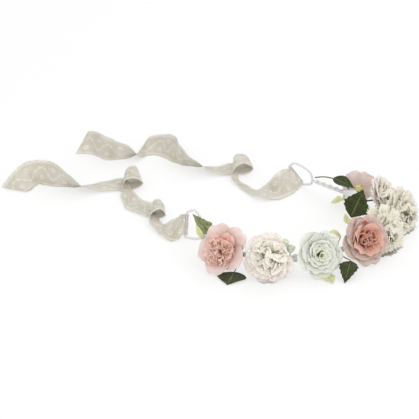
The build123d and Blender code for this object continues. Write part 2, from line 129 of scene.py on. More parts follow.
def smooth_path(stations: Array, spacing: float) -> Array:
    """Points at an even spacing on a smooth curve through stations.

    Args:
        stations: Rows of numbers, the first three of them a place.
        spacing: Distance between points.

    Returns:
        Rows with the same columns.
    """
    steps = np.linalg.norm(np.diff(stations[:, :3], axis=0), axis=1) ** 0.5
    knots = np.concatenate([[0.0], np.cumsum(steps)])
    slopes = np.zeros_like(stations)
    for i in range(len(stations)):
        low, high = max(i - 1, 0), min(i + 1, len(stations) - 1)
        slopes[i] = (stations[high] - stations[low]) / (knots[high] - knots[low])
    t = np.linspace(0, 1, 24, endpoint=False)[:, None]
    fine = []
    for i in range(len(stations) - 1):
        span = knots[i + 1] - knots[i]
        fine.append((2 * t ** 3 - 3 * t ** 2 + 1) * stations[i] + (t ** 3 - 2 * t ** 2 + t) * span * slopes[i]
                    + (3 * t ** 2 - 2 * t ** 3) * stations[i + 1] + (t ** 3 - t ** 2) * span * slopes[i + 1])
    rows = np.concatenate([*fine, stations[-1:]])
    run = run_along(rows[:, :3])
    even = np.linspace(0, run[-1], max(2, int(round(run[-1] / spacing)) + 1))
    return np.stack([np.interp(even, run, rows[:, c]) for c in range(rows.shape[1])], axis=1)


def carried_frames(path: Array, first: Array) -> tuple[Array, Array]:
    """Two directions square to a path that turn with it and never flip.

    Args:
        path: Points of the path.
        first: Rough first direction across it.

    Returns:
        The two directions at each point.
    """
    along = unit(np.gradient(path, axis=0))
    across = np.zeros_like(path)
    across[0] = unit(first - along[0] * (first @ along[0]))
    for i in range(1, len(path)):
        carried = across[i - 1] - along[i] * (across[i - 1] @ along[i])
        across[i] = unit(carried)
    return across, np.cross(along, across)


# ---------------------------------------------------------------- meshes

@dataclass
class ClothMesh:
    """Gathers sheets and tubes into one closed mesh with a UV map and two paint values per point."""

    verts: list[Array] = field(default_factory=list)
    tone: list[Array] = field(default_factory=list)
    shade: list[Array] = field(default_factory=list)
    quads: list[Array] = field(default_factory=list)
    corner_uv: list[Array] = field(default_factory=list)
    count: int = 0

    def _points(self, points: Array, tone: Array, shade: Array) -> Array:
        """Add a grid of points and return their numbers."""
        flat = points.reshape(-1, 3)
        numbers = self.count + np.arange(len(flat)).reshape(points.shape[:2])
        self.verts.append(flat)
        self.tone.append(np.broadcast_to(tone, points.shape[:2]).reshape(-1))
        self.shade.append(np.broadcast_to(shade, points.shape[:2]).reshape(-1))
        self.count += len(flat)
        return numbers

    def _faces(self, numbers: Array, uv: Array, flip: bool) -> None:
        """Add the faces of a grid of point numbers."""
        def corners(grid: Array) -> Array:
            """The four corners of every face."""
            ring = [grid[:-1, :-1], grid[1:, :-1], grid[1:, 1:], grid[:-1, 1:]]
            if flip:
                ring.reverse()
            return np.stack(ring, axis=2)
        self.quads.append(corners(numbers).reshape(-1, 4))
        self.corner_uv.append(corners(uv).reshape(-1, 2))

    def sheet(self, grid: Array, thick: float | Array, uv: Array, tone: Array | float = 0.0,
              shade: Array | float = 0.0, closed: bool = False) -> None:
        """Add a sheet of cloth with a real thickness.

        Args:
            grid: Points of its middle surface, rows by columns.
            thick: Its thickness.
            uv: Place on the flat cloth of each point.
            tone: Paint value from 0 to 1.
            shade: Second paint value.
            closed: Whether the last column joins the first.
        """
        down = np.gradient(grid, axis=0)
        if closed:
            over = np.roll(grid, -1, axis=1) - np.roll(grid, 1, axis=1)
        else:
            over = np.gradient(grid, axis=1)
        lift = unit(np.cross(down, over)) * (np.asarray(thick)[..., None] / 2)
        top = self._points(grid + lift, tone, shade)
        low = self._points(grid - lift, tone, shade)
        if closed:
            top, low = (np.concatenate([n, n[:, :1]], axis=1) for n in (top, low))
            uv = np.concatenate([uv, uv[:, :1] + [1.0, 0.0]], axis=1)
        self._faces(top, uv, False)
        self._faces(low, uv, True)
        edges = [(np.stack([low[0], top[0]]), np.stack([uv[0], uv[0]])),
                 (np.stack([top[-1], low[-1]]), np.stack([uv[-1], uv[-1]]))]
        if not closed:
            edges += [(np.stack([top[:, 0], low[:, 0]]), np.stack([uv[:, 0], uv[:, 0]])),
                      (np.stack([low[:, -1], top[:, -1]]), np.stack([uv[:, -1], uv[:, -1]]))]
        for numbers, places in edges:
            self._faces(numbers, places, False)

    def tube(self, rings: Array, uv: Array, tone: Array | float) -> None:
        """Add a solid bar through rings of points, with closed ends.

        Args:
            rings: Points, one row for each ring.
            uv: Place of each point, with one more column than rings.
            tone: Paint value from 0 to 1.
        """
        numbers = self._points(rings, tone, 0.0)
        wrapped = np.concatenate([numbers, numbers[:, :1]], axis=1)
        self._faces(wrapped, uv, True)
        for row, outwards in ((0, True), (-1, False)):
            middle = self._points(rings[row].mean(axis=0).reshape(1, 1, 3), 0.0, 0.0)
            ring = wrapped[row]
            pair = np.stack([ring, np.full_like(ring, middle[0, 0])])
            self._faces(pair, np.stack([uv[row], uv[row]]), not outwards)

    def bar(self, path: Array, radius: Array | float, sides: int, first: Array | None = None,
            tone: Array | float = 0.0, around: float = 1.0) -> None:
        """Add a solid bar round a path.

        Args:
            path: Middle line.
            radius: Radius at each point, or at each point and side.
            sides: Points in a ring.
            first: Direction of the first side, worked out if left out.
            tone: Paint value from 0 to 1.
            around: UV distance of a whole turn.
        """
        rings, uv = bar_rings(path, radius, sides, first)
        self.tube(rings, uv * [around, 1.0], tone)

    def settle_on(self, outwards: Array, lowest: float = 0.45, slide: float = 0.7,
                  sink: float = 0.03) -> None:
        """Bend what would go through the table outwards along it.

        Args:
            outwards: Direction that the cloth gives way in.
            lowest: Height that the cloth rests at.
            slide: How far it gives way, as a share of its depth below that height.
            sink: Share of its depth that it keeps at most, so that layers stay apart.
        """
        level = unit(np.asarray(outwards, float) * [1, 1, 0])
        for points in self.verts:
            deep = np.maximum(lowest - points[:, 2], 0.0)
            points += level * (deep * slide)[:, None]
            points[:, 2] += deep * (1 - sink * np.tanh(deep))

    def build(self, name: str) -> bpy.types.Object:
        """Make the Blender object.

        Args:
            name: Name of the piece.

        Returns:
            The object, linked to the scene.
        """
        quads = np.concatenate(self.quads)
        places = np.concatenate(self.corner_uv).reshape(-1, 4, 2)
        faces, uvs = [], []
        for quad, corners in zip(quads.tolist(), places.tolist()):
            kept = [k for k in range(4) if quad[k] != quad[k - 1]]
            faces.append([quad[k] for k in kept])
            uvs += [corners[k] for k in kept]
        mesh = bpy.data.meshes.new(name)
        mesh.from_pydata((np.concatenate(self.verts) * MM).tolist(), [], faces)
        layer = mesh.uv_layers.new(name="cloth")
        layer.data.foreach_set("uv", np.asarray(uvs, dtype=np.float32).reshape(-1))
        for label, values in (("tone", self.tone), ("shade", self.shade)):
            attribute = mesh.attributes.new(label, "FLOAT", "POINT")
            attribute.data.foreach_set("value", np.concatenate(values).astype(np.float32))
        mesh.shade_smooth()
        piece = bpy.data.objects.new(name, mesh)
        bpy.context.scene.collection.objects.link(piece)
        return piece


def bar_rings(path: Array, radius: Array | float, sides: int,
              first: Array | None = None) -> tuple[Array, Array]:
    """Rings of points round a path, for ClothMesh.tube.

    Args:
        path: Middle line.
        radius: Radius at each point, or at each point and side.
        sides: Points in a ring.
        first: Direction of the first side, worked out if left out.

    Returns:
        The rings and their UV places, in turns around and millimetres along.
    """
    if first is None:
        first = X_AXIS if abs(unit(path[1] - path[0])[2]) > STEEP else UPWARDS
    across, up = carried_frames(path, first)
    turn = np.linspace(0, TAU, sides, endpoint=False)
    size = np.asarray(radius, float)
    if size.ndim < 2:
        size = np.broadcast_to(size, (len(path),))[:, None]
    rings = (path[:, None] + across[:, None] * (size * np.cos(turn))[..., None]
             + up[:, None] * (size * np.sin(turn))[..., None])
    return rings, ring_places(run_along(path), sides)


def ring_places(along: Array, sides: int) -> Array:
    """UV places of rings: turns around, with the first side again at the end, and distance along."""
    return np.stack(np.broadcast_arrays(np.linspace(0, 1, sides + 1)[None], along[:, None]), axis=2)


# ---------------------------------------------------------------- nodes

class Link:
    """A node socket that adds Math nodes when it is used in an expression."""

    def __init__(self, bench: "Bench", socket: bpy.types.NodeSocket) -> None:
        """Wrap a socket of a tree."""
        self.bench, self.socket = bench, socket

    def _math(self, operation: str, *values: Any) -> "Link":
        """Add one Math node."""
        return self.bench.add("ShaderNodeMath", {"operation": operation}, dict(enumerate(values)))

    def __add__(self, other: Any) -> "Link":
        """Sum."""
        return self._math("ADD", self, other)

    __radd__ = __add__

    def __sub__(self, other: Any) -> "Link":
        """Difference."""
        return self._math("SUBTRACT", self, other)

    def __rsub__(self, other: Any) -> "Link":
        """Difference from a number."""
        return self._math("SUBTRACT", other, self)

    def __mul__(self, other: Any) -> "Link":
        """Product."""
        return self._math("MULTIPLY", self, other)

    def __truediv__(self, other: Any) -> "Link":
        """Quotient."""
        return self._math("DIVIDE", self, other)

    def __pow__(self, other: Any) -> "Link":
        """Power."""
        return self._math("POWER", self, other)

    def __lt__(self, other: Any) -> "Link":
        """1 where smaller."""
        return self._math("LESS_THAN", self, other)

    def capped(self) -> "Link":
        """The value, but at most 1."""
        return self._math("MINIMUM", self, 1.0)

    def arctan2(self, other: "Link") -> "Link":
        """Angle whose tangent is this over the other."""
        return self._math("ARCTAN2", self, other)

    def sin(self) -> "Link":
        """Sine."""
        return self._math("SINE", self)

    def cos(self) -> "Link":
        """Cosine."""
        return self._math("COSINE", self)

    def size(self) -> "Link":
        """Absolute value."""
        return self._math("ABSOLUTE", self)

    def root(self) -> "Link":
        """Square root."""
        return self._math("SQRT", self)

    def fold(self, period: float) -> "Link":
        """Distance to the nearest multiple of a period."""
        return self._math("PINGPONG", self, period / 2)

    def smooth(self, low: float, high: float) -> "Link":
        """0 below low, 1 above high, and smooth between."""
        return self.bench.add("ShaderNodeMapRange", {"interpolation_type": "SMOOTHSTEP"},
                              {"Value": self, "From Min": low, "From Max": high})


class Bench:
    """Adds nodes to one shader or geometry tree."""

    def __init__(self, tree: bpy.types.NodeTree) -> None:
        """Work on a tree."""
        self.tree = tree

    def add(self, kind: str, settings: dict[str, Any] | None = None,
            inputs: dict[str | int, Any] | None = None, output: str | int = 0) -> Link:
        """Add a node.

        Args:
            kind: Type of the node.
            settings: Its properties; "stops" is the list of a ramp's stops.
            inputs: Values or links of its sockets, by name or number.
            output: The output socket to return.

        Returns:
            That output.
        """
        node = self.tree.nodes.new(kind)
        for name, value in (settings or {}).items():
            if name == "stops":
                ramp = node.color_ramp
                for place, colour in value[2:]:
                    ramp.elements.new(place).color = (*colour, 1)
                for element, (place, colour) in zip((ramp.elements[0], ramp.elements[-1]), value[:2]):
                    element.position, element.color = place, (*colour, 1)
            else:
                setattr(node, name, value)
        for name, value in (inputs or {}).items():
            socket = node.inputs[name]
            if isinstance(value, Link):
                self.tree.links.new(value.socket, socket)
            elif isinstance(value, (tuple, list)) and socket.type == "RGBA" and len(value) == 3:
                socket.default_value = (*value, 1)
            else:
                socket.default_value = value
        return Link(self, node.outputs[output]) if len(node.outputs) else Link(self, node.inputs[0])

    def attribute(self, name: str) -> Link:
        """A paint value of the mesh."""
        return self.add("ShaderNodeAttribute", {"attribute_name": name}, None, "Fac")

    def noise(self, scale: float, detail: float) -> Link:
        """Noise in the piece's own places."""
        place = self.add("ShaderNodeTexCoord", None, None, "Object")
        return self.add("ShaderNodeTexNoise", None, {"Vector": place, "Scale": scale, "Detail": detail})

    def cloth_places(self) -> tuple[Link, Link]:
        """The two numbers of the flat cloth's places."""
        uv = self.add("ShaderNodeUVMap", {"uv_map": "cloth"})
        split = self.add("ShaderNodeSeparateXYZ", None, {0: uv})
        return split, Link(self, split.socket.node.outputs[1])

    def random(self, low: Any, high: Any, seed: Link) -> Link:
        """A random number for each copy."""
        return self.add("FunctionNodeRandomValue", {"data_type": "FLOAT"}, {2: low, 3: high, "Seed": seed}, 1)

    def blend(self, share: Any, first: Any, second: Any) -> Link:
        """Mix two colours."""
        return self.add("ShaderNodeMix", {"data_type": "RGBA"}, {"Factor": share, 6: first, 7: second}, 2)


# ---------------------------------------------------------------- finishes

@dataclass(frozen=True)
class Finish:
    """What every finish has: a name, a roughness and a sheen, and its own paint."""

    name: str
    slot: str
    roughness: float = 0.8
    sheen: float = 0.25
    sheen_roughness: float = 0.5
    specular: float = 0.25
    subsurface: float = 0.0
    scatter: tuple[float, float, float] = (0.0011, 0.0010, 0.0010)
    bump: float = 0.6
    bump_depth: float = 0.0004

    def paint(self, bench: Bench) -> dict[str, Link]:
        """Colour, roughness, height and alpha of the surface; each kind of finish has its own."""
        raise NotImplementedError

    def material(self) -> bpy.types.Material:
        """Make the material, or find it if it is made already."""
        known = bpy.data.materials.get(self.name)
        if known:
            return known
        material = bpy.data.materials.new(self.name)
        material.use_nodes = True
        tree = material.node_tree
        shader = tree.nodes["Principled BSDF"]
        bench = Bench(tree)
        looks = self.paint(bench)
        constants = {"Roughness": self.roughness, "Sheen Weight": self.sheen,
                     "Sheen Roughness": self.sheen_roughness, "Specular IOR Level": self.specular,
                     "Subsurface Weight": self.subsurface}
        if self.subsurface:
            constants |= {"Subsurface Radius": self.scatter, "Subsurface Scale": 1.0}
        for key, value in constants.items():
            shader.inputs[key].default_value = value
        relief = {"Height": looks.pop("Height"), "Strength": self.bump, "Distance": self.bump_depth}
        looks["Normal"] = bench.add("ShaderNodeBump", None, relief)
        for key, link in looks.items():
            tree.links.new(link.socket, shader.inputs[key])
        return material

    def dress(self, piece: bpy.types.Object) -> None:
        """Put the finish on every face of a piece."""
        piece.data.materials.clear()
        piece.data.materials.append(self.material())


@dataclass(frozen=True)
class PetalCloth(Finish):
    """Stiffened petal cloth, dyed from its throat to its rim, with creases and a fine weave."""

    throat: Colour = dye(216, 170, 160)
    body: Colour = dye(230, 200, 194)
    rim: Colour = dye(240, 222, 218)
    blush: Colour = dye(224, 184, 178)
    blush_share: float = 0.25
    weave: float = 0.45
    subsurface: float = 0.55

    def paint(self, bench: Bench) -> dict[str, Link]:
        """Dye, creases and weave."""
        stops = [(0.0, self.throat), (1.0, self.rim), (0.5, self.body)]
        dyed = bench.add("ShaderNodeValToRGB", {"stops": stops}, {0: bench.attribute("tone")})
        mottle = bench.noise(120.0, 3.0)
        shaded = bench.attribute("shade") * self.blush_share * 0.6
        stain = mottle.smooth(0.45, 0.7) * self.blush_share + shaded
        warp, weft = bench.cloth_places()
        threads = (warp * (TAU / self.weave)).sin() * (weft * (TAU / self.weave)).sin()
        veins = (warp * 1.7 + mottle * 2.0).sin()
        return {"Base Color": bench.blend(stain, dyed, self.blush),
                "Height": threads * 0.12 + bench.noise(350.0, 4.0) * 0.8 + veins * 0.12,
                "Roughness": 0.7 + mottle * 0.25}


@dataclass(frozen=True)
class LeafCloth(Finish):
    """Leaf cloth with a pale midrib and side veins, mottled between them."""

    ground: Colour = dye(39, 47, 20)
    light: Colour = dye(73, 80, 42)
    vein: Colour = dye(110, 116, 70)
    speckle: float = 0.2
    vein_pitch: float = 2.6
    vein_slant: float = 3.6

    def paint(self, bench: Bench) -> dict[str, Link]:
        """Veins in the leaf's own places: across from -1 to 1, along in millimetres."""
        sideways, along = bench.cloth_places()
        across = sideways.size()
        grain, fine = bench.noise(260.0, 4.0), bench.noise(1300.0, 2.0)
        slant = along - across * self.vein_slant + grain * 0.6
        side = 1.0 - slant.fold(self.vein_pitch).smooth(0.05, 0.28)
        veins = side * 0.6 + (1.0 - across.smooth(0.03, 0.1))
        mottle = (grain * 0.7 + fine * 0.5).smooth(0.62 - self.speckle, 0.8)
        colour = bench.blend(veins.smooth(0.2, 1.3), bench.blend(mottle, self.ground, self.light), self.vein)
        return {"Base Color": colour, "Height": fine * 0.3 - veins * 0.6 + grain * 0.4,
                "Roughness": 0.62 + fine * 0.3}


@dataclass(frozen=True)
class LaceCloth(Finish):
    """Cotton lace: a net ground with eyelets, a row of blossoms and corded edges."""

    thread: Colour = dye(238, 234, 222)
    # darker ivory: painted shade on the net ground between the raised motifs, and also the colour of the
    # random stains
    stain_and_ground_shade: Colour = dye(205, 197, 178)
    half_width: float = 11.5
    repeat: float = 28.0
    net: float = 1.25
    twist: float = 0.42
    cord: float = 2.1
    edge_row: float = 0.9
    edge_pitch: float = 2.5
    vine_reach: float = 5.2
    leaves: int = 6
    blossom_place: float = 5.0
    blossom_size: float = 2.7
    petals: float = 6.0

    def paint(self, bench: Bench) -> dict[str, Link]:
        """Pattern in millimetres across and along the ribbon, with painted shade on the net ground between
        the raised motifs.
        """
        across, along = bench.cloth_places()
        wide = across.size()
        blossom, eye = self._blossom(across, along, wide)
        cord = wide.smooth(self.half_width - self.cord, self.half_width - self.cord + 0.4)
        motif = (self._vine(across, along) + blossom + cord).capped()
        mesh = ((across + along) * (TAU / self.net)).sin() * ((across - along) * (TAU / self.net)).sin()
        net_hole = mesh.smooth(0.3, 0.55) * (1.0 - motif)
        edge_row = ((wide - self.half_width + self.edge_row) ** 2 + along.fold(self.edge_pitch) ** 2).root()
        holes = (net_hole + eye + (1.0 - edge_row.smooth(0.28, 0.42))).capped()
        fuzz, stain = bench.noise(900.0, 3.0), bench.noise(60.0, 3.0)
        twist = ((across + along) * (TAU / self.twist)).sin()
        # the net ground away from the motifs takes 35% of the darker ivory as painted shade; the stain noise
        # adds up to half of it as real staining
        colour = bench.blend((1.0 - motif) * 0.35 + stain.smooth(0.35, 0.75) * 0.5, self.thread, self.stain_and_ground_shade)
        return {"Base Color": colour, "Alpha": 1.0 - holes * 0.8,
                "Height": motif + (mesh - 0.3).size() * 0.4 + twist * 0.15 + fuzz * 0.5,
                "Roughness": 0.8 + fuzz * 0.15}

    def _vine(self, across: Link, along: Link) -> Link:
        """A corded stem that winds down the ribbon, with leaves along it."""
        stem = (across - (along * (TAU / self.repeat)).sin() * self.vine_reach).size()
        leaves = (along * (TAU * self.leaves / self.repeat)).sin().smooth(0.2, 1.0)
        return 1.0 - (stem - leaves * 1.1).smooth(0.35, 0.6)

    def _blossom(self, across: Link, along: Link, wide: Link) -> tuple[Link, Link]:
        """A six-petalled blossom in each bay of the vine, and the eyelet at its middle."""
        bay = self.repeat * 0.75 - (across < 0.0) * (self.repeat / 2)
        down = (along - bay).fold(self.repeat)
        over = wide - self.blossom_place
        far = (over ** 2 + down ** 2).root()
        rim = self.blossom_size + (over.arctan2(down) * self.petals).cos() * 0.7
        return 1.0 - (far - rim).smooth(-0.3, 0.2), 1.0 - far.smooth(0.45, 0.65)


@dataclass(frozen=True)
class WovenTape(Finish):
    """Cotton tape or thread, woven or wound."""

    thread: Colour = dye(250, 250, 248)
    # gap: painted shade in the grooves between the threads, also mixed in at random by noise
    gap: Colour = dye(222, 222, 222)
    pitch: float = 0.9
    threads_around: float = 24.0

    def paint(self, bench: Bench) -> dict[str, Link]:
        """Crossed threads in the piece's own places, with lint, and painted shade in the grooves between the
        threads.
        """
        around, along = bench.cloth_places()
        lint = bench.noise(900.0, 4.0)
        turned, wound = around * TAU * self.threads_around, along * (TAU / self.pitch)
        threads = ((turned + wound).sin() * (turned - wound).sin()).smooth(-0.8, 0.5)
        # the grooves between the raised threads take the darker gap colour as painted shade; the noise varies
        # the tone at random
        colour = bench.blend(threads * 0.75 + bench.noise(90.0, 2.0) * 0.25, self.gap, self.thread)
        return {"Base Color": colour, "Height": threads * 0.9 + lint * 0.5, "Roughness": 0.78 + lint * 0.2}


@dataclass(frozen=True)
class Moulded(Finish):
    """Moulded stem or stamen: one colour, uneven and slightly shiny."""

    dark: Colour = dye(70, 82, 48)
    light: Colour = dye(104, 118, 70)
    grain: float = 300.0

    def paint(self, bench: Bench) -> dict[str, Link]:
        """Uneven dye and a fine grain."""
        uneven, fine = bench.noise(self.grain, 4.0), bench.noise(self.grain * 5, 2.0)
        return {"Base Color": bench.blend(uneven.smooth(0.35, 0.65), self.dark, self.light),
                "Height": uneven * 0.6 + fine * 0.4, "Roughness": 0.5 + fine * 0.3}


PINK = PetalCloth("dusty_pink_petal", "pink_petal", throat=dye(192, 130, 114), body=dye(219, 191, 183),
                  rim=dye(234, 219, 215), blush=dye(214, 180, 173), blush_share=0.4)
PINK_INNER = PetalCloth("pink_inner_petal", "pink_petal", throat=dye(186, 108, 88), body=dye(227, 170, 154),
                        rim=dye(240, 206, 195), blush=dye(220, 154, 138), blush_share=0.35)
DUSK = PetalCloth("dusk_pink_petal", "pink_petal", throat=dye(174, 124, 108), body=dye(195, 169, 158),
                  rim=dye(213, 196, 187), blush=dye(183, 152, 141), blush_share=0.4)
DUSK_INNER = PetalCloth("dusk_inner_petal", "pink_petal", throat=dye(166, 100, 80), body=dye(205, 149, 130),
                        rim=dye(226, 186, 171), blush=dye(188, 126, 107), blush_share=0.35)
PINK_PALE = PetalCloth("pale_pink_petal", "pink_petal", throat=dye(216, 196, 178), body=dye(224, 207, 200),
                       rim=dye(236, 223, 219), blush=dye(216, 193, 188), blush_share=0.3)
CORAL = PetalCloth("coral_ruffle", "coral_centre", throat=dye(204, 126, 102), body=dye(241, 186, 166),
                   rim=dye(246, 212, 198), blush=dye(228, 160, 138), blush_share=0.35)
CORAL_DEEP = PetalCloth("deep_coral_ruffle", "coral_centre", throat=dye(160, 86, 66), body=dye(210, 147, 125),
                        rim=dye(230, 180, 161), blush=dye(190, 120, 98), blush_share=0.35)
CREAM = PetalCloth("cream_petal_cloth", "cream_petal", throat=dye(246, 235, 208), body=dye(243, 234, 216),
                   rim=dye(246, 240, 229), blush=dye(238, 223, 205), blush_share=0.35)
BLUSH = PetalCloth("blush_petal_cloth", "cream_petal", throat=dye(234, 217, 188), body=dye(239, 229, 215),
                   rim=dye(245, 238, 232), blush=dye(233, 212, 207), blush_share=0.45)
SAGE_CREAM = PetalCloth("sage_cream_petal", "cream_petal", throat=dye(224, 190, 156), body=dye(226, 218, 198),
                        rim=dye(238, 234, 222), blush=dye(216, 208, 182), blush_share=0.4)
WHITE = PetalCloth("white_petal_cloth", "white_petal", throat=dye(194, 198, 172), body=dye(210, 212, 198),
                   rim=dye(228, 229, 221), blush=dye(200, 203, 186), blush_share=0.3)
WHITE_HEART = PetalCloth("white_rose_heart", "white_petal", throat=dye(214, 217, 180),
                         body=dye(240, 240, 220), rim=dye(246, 246, 236), blush=dye(228, 231, 200),
                         blush_share=0.3)
DARK_LEAF = LeafCloth("dark_leaf_cloth", "dark_leaf", roughness=0.6, sheen=0.1)
VARIEGATED_LEAF = LeafCloth("variegated_leaf_cloth", "dark_leaf", roughness=0.6, sheen=0.1,
                            ground=dye(37, 50, 26), light=dye(156, 164, 118), vein=dye(84, 100, 58),
                            speckle=0.36)
PALE_LEAF = LeafCloth("pale_leaf_cloth", "pale_leaf", roughness=0.65, sheen=0.15, ground=dye(206, 208, 152),
                      light=dye(226, 226, 180), vein=dye(186, 192, 130))
# the lace keeps its default darker ivory as painted shade on the net ground
LACE = LaceCloth("ivory_cotton_lace", "lace", roughness=0.85, sheen=0.3)
# each woven finish's gap colour is painted shade in the grooves between its threads
TAPE = WovenTape("white_woven_tape", "band_wrap")
THREAD = WovenTape("white_binding_thread", "binding_thread", pitch=0.5)
WIRE_COTTON = WovenTape("white_wire_cotton", "wire_wrap", thread=dye(254, 254, 254), gap=dye(242, 242, 243),
                        pitch=0.4)
PICOT_THREAD = WovenTape("ivory_picot_thread", "lace", thread=dye(232, 227, 213), gap=dye(206, 198, 180),
                         pitch=0.5)
STEM = Moulded("green_stem", "stem")
STAMEN = Moulded("straw_stamen", "stamen", dark=dye(214, 186, 120), light=dye(240, 222, 170), grain=800.0)
CALYX_YELLOW = Moulded("pale_yellow_calyx", "stem", dark=dye(214, 212, 140), light=dye(238, 234, 172),
                       grain=400.0)
PALE_BUD = Moulded("green_white_bud", "bud", dark=dye(198, 204, 176), light=dye(232, 233, 216), grain=400.0)


# ---------------------------------------------------------------- repeated details

class Repeater:
    """A Geometry Nodes tree that copies one small shape many times."""

    def __init__(self, name: str, inputs: Sequence[tuple[str, str, Any]]) -> None:
        """Start a tree.

        Args:
            name: Name of the tree.
            inputs: Name, socket type and value of each named input.
        """
        self.tree = bpy.data.node_groups.new(name, "GeometryNodeTree")
        self.tree.interface.new_socket("Geometry", in_out="INPUT", socket_type="NodeSocketGeometry")
        self.tree.interface.new_socket("Geometry", in_out="OUTPUT", socket_type="NodeSocketGeometry")
        self.keys: dict[str, str] = {}
        self.values: dict[str, Any] = {}
        for label, kind, value in inputs:
            socket = self.tree.interface.new_socket(label, in_out="INPUT", socket_type=kind)
            self.keys[label], self.values[label] = socket.identifier, value
        self.bench = Bench(self.tree)
        self.bench.add("NodeGroupInput")
        self.entry = self.tree.nodes[-1]

    def given(self, label: str) -> Link:
        """A named input, or the mesh that the tree is run on as Geometry."""
        return Link(self.bench, self.entry.outputs[label])

    def copy(self, points: Link, shape: str, turn: Link, size: Link, material: bpy.types.Material) -> None:
        """End the tree in real, dressed copies of a shape.

        Args:
            points: Where they stand.
            shape: Name of the input that holds the shape.
            turn: Rotation of each.
            size: Size of each.
            material: What they are made of.
        """
        source = self.bench.add("GeometryNodeObjectInfo", None, {"Object": self.given(shape)}, "Geometry")
        copies = self.bench.add("GeometryNodeInstanceOnPoints", None,
                                {"Points": points, "Instance": source, "Rotation": turn, "Scale": size})
        real = self.bench.add("GeometryNodeRealizeInstances", None, {0: copies})
        dressed = self.bench.add("GeometryNodeSetMaterial", None, {0: real, "Material": material})
        smooth = self.bench.add("GeometryNodeSetShadeSmooth", None, {0: dressed})
        self.bench.add("NodeGroupOutput", None, {0: smooth})

    def make(self, name: str, source: bpy.types.Mesh) -> bpy.types.Object:
        """Run the tree on a mesh and keep the result as a plain mesh.

        Args:
            name: Name of the piece.
            source: Mesh that the tree reads.

        Returns:
            The piece.
        """
        holder = bpy.data.objects.new(name + "_source", source)
        bpy.context.scene.collection.objects.link(holder)
        modifier = holder.modifiers.new("repeat", "NODES")
        modifier.node_group = self.tree
        for label, value in self.values.items():
            modifier[self.keys[label]] = value
        graph = bpy.context.evaluated_depsgraph_get()
        mesh = bpy.data.meshes.new_from_object(holder.evaluated_get(graph))
        mesh.name = name
        bpy.data.objects.remove(holder)
        piece = bpy.data.objects.new(name, mesh)
        bpy.context.scene.collection.objects.link(piece)
        return piece


def settle(piece: bpy.types.Object, finish: Finish, body: str, node: str) -> bpy.types.Object:
    """Dress a piece, let it stand for a CAD node, and ride it on its body.

    Args:
        piece: The piece.
        finish: Its finish.
        body: Body that it moves with.
        node: CAD node that it replaces.

    Returns:
        The piece.
    """
    finish.dress(piece)
    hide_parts(node)
    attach(piece, body)
    log.info("%s: %d faces on %s", piece.name, len(piece.data.polygons), body)
    return piece


# ---------------------------------------------------------------- petals

@dataclass(frozen=True)
class Petal:
    """Shape of one petal: its outline, its bend from the side and the waves of its rim."""

    length: float
    width: float
    slopes: tuple[float, ...]
    cup: float = 0.25
    shoulder: float = 0.35
    ruffle: float = 0.6
    waves: float = 2.0
    curl: float = 0.0
    teeth: int = 0
    tooth: float = 1.2
    start: float = 2.2
    claw: float = 0.22
    rows: int = 18
    columns: int = 20
    bend_points: int = 60
    slope_spread: float = 2.5
    notch: float = 0.05

    def _outline(self, across: Array, rng: np.random.Generator) -> Array:
        """Share of its length that the petal reaches at each place across it."""
        reach = 1 - self.shoulder * np.abs(across) ** 2.6 * (0.92 + 0.16 * rng.random())
        if self.teeth:
            saw = np.abs(((across + 1) / 2 * self.teeth) % 1 - 0.5) * 2
            return reach - saw * self.tooth / self.length
        return reach - self.notch * np.exp(-(across * 5) ** 2) + 0.02 * np.sin(7 * across + 6 * rng.random())

    def _bend(self, rng: np.random.Generator) -> tuple[Array, Array, Array, Array]:
        """Shares along the petal, and how far out, how high and how steep it is at each."""
        shares = np.linspace(0, 1, self.bend_points)
        stops = np.linspace(0, 1, len(self.slopes))
        slope = np.radians(np.interp(shares, stops, self.slopes) + rng.normal(0, self.slope_spread))
        step = (self.length - self.start) / (self.bend_points - 1)
        out = np.concatenate([[0], np.cumsum(np.cos(slope[:-1]) * step)])
        rise = np.concatenate([[0], np.cumsum(np.sin(slope[:-1]) * step)])
        return shares, out, rise, slope

    def grid(self, rng: np.random.Generator) -> tuple[Array, Array, Array]:
        """Points of the petal along +x, rising along z.

        Args:
            rng: Source of its own small differences.

        Returns:
            Points, flat places and tone.
        """
        s, t = np.meshgrid(np.linspace(0, 1, self.rows), np.linspace(-1, 1, self.columns), indexing="ij")
        run = (self.length - self.start) * s * self._outline(t, rng)
        share = run / (self.length - self.start)
        shares, out, rise, slope = self._bend(rng)
        opened = np.sin(math.pi / 2 * np.clip(share * 1.35, 0, 1)) ** 0.9
        half = self.width / 2 * (self.claw + (1 - self.claw) * opened)
        y = half * t
        tip = np.interp(share, shares, slope)
        phase = rng.random() * TAU
        wave = self.waves * math.pi * t
        lift = self.cup * half * t ** 2 * share
        lift = lift + self.ruffle * share ** 3 * np.sin(wave + phase)
        lift = lift + 0.4 * self.ruffle * share ** 2 * np.sin(2.7 * wave + 2.1 * phase + 3 * share)
        lift = lift - self.curl * np.abs(t) ** 3 * share ** 2
        x = self.start + np.interp(share, shares, out) - lift * np.sin(tip)
        z = np.interp(share, shares, rise) + lift * np.cos(tip)
        tone = np.clip(share + 0.1 * (np.abs(t) ** 3), 0, 1)
        return np.stack([x, y, z], axis=2), np.stack([y, run], axis=2), tone


def turned(points: Array, turn: float, roll: float, lift: float) -> Array:
    """Points rolled about x, raised and turned about z.

    Args:
        points: Rows of points.
        turn: Degrees about z.
        roll: Degrees about x.
        lift: Height added.

    Returns:
        The moved points.
    """
    r, a = math.radians(roll), math.radians(turn)
    x, y, z = points[..., 0], points[..., 1], points[..., 2]
    y, z = y * math.cos(r) - z * math.sin(r), y * math.sin(r) + z * math.cos(r) + lift
    return np.stack([x * math.cos(a) - y * math.sin(a), x * math.sin(a) + y * math.cos(a), z], axis=-1)


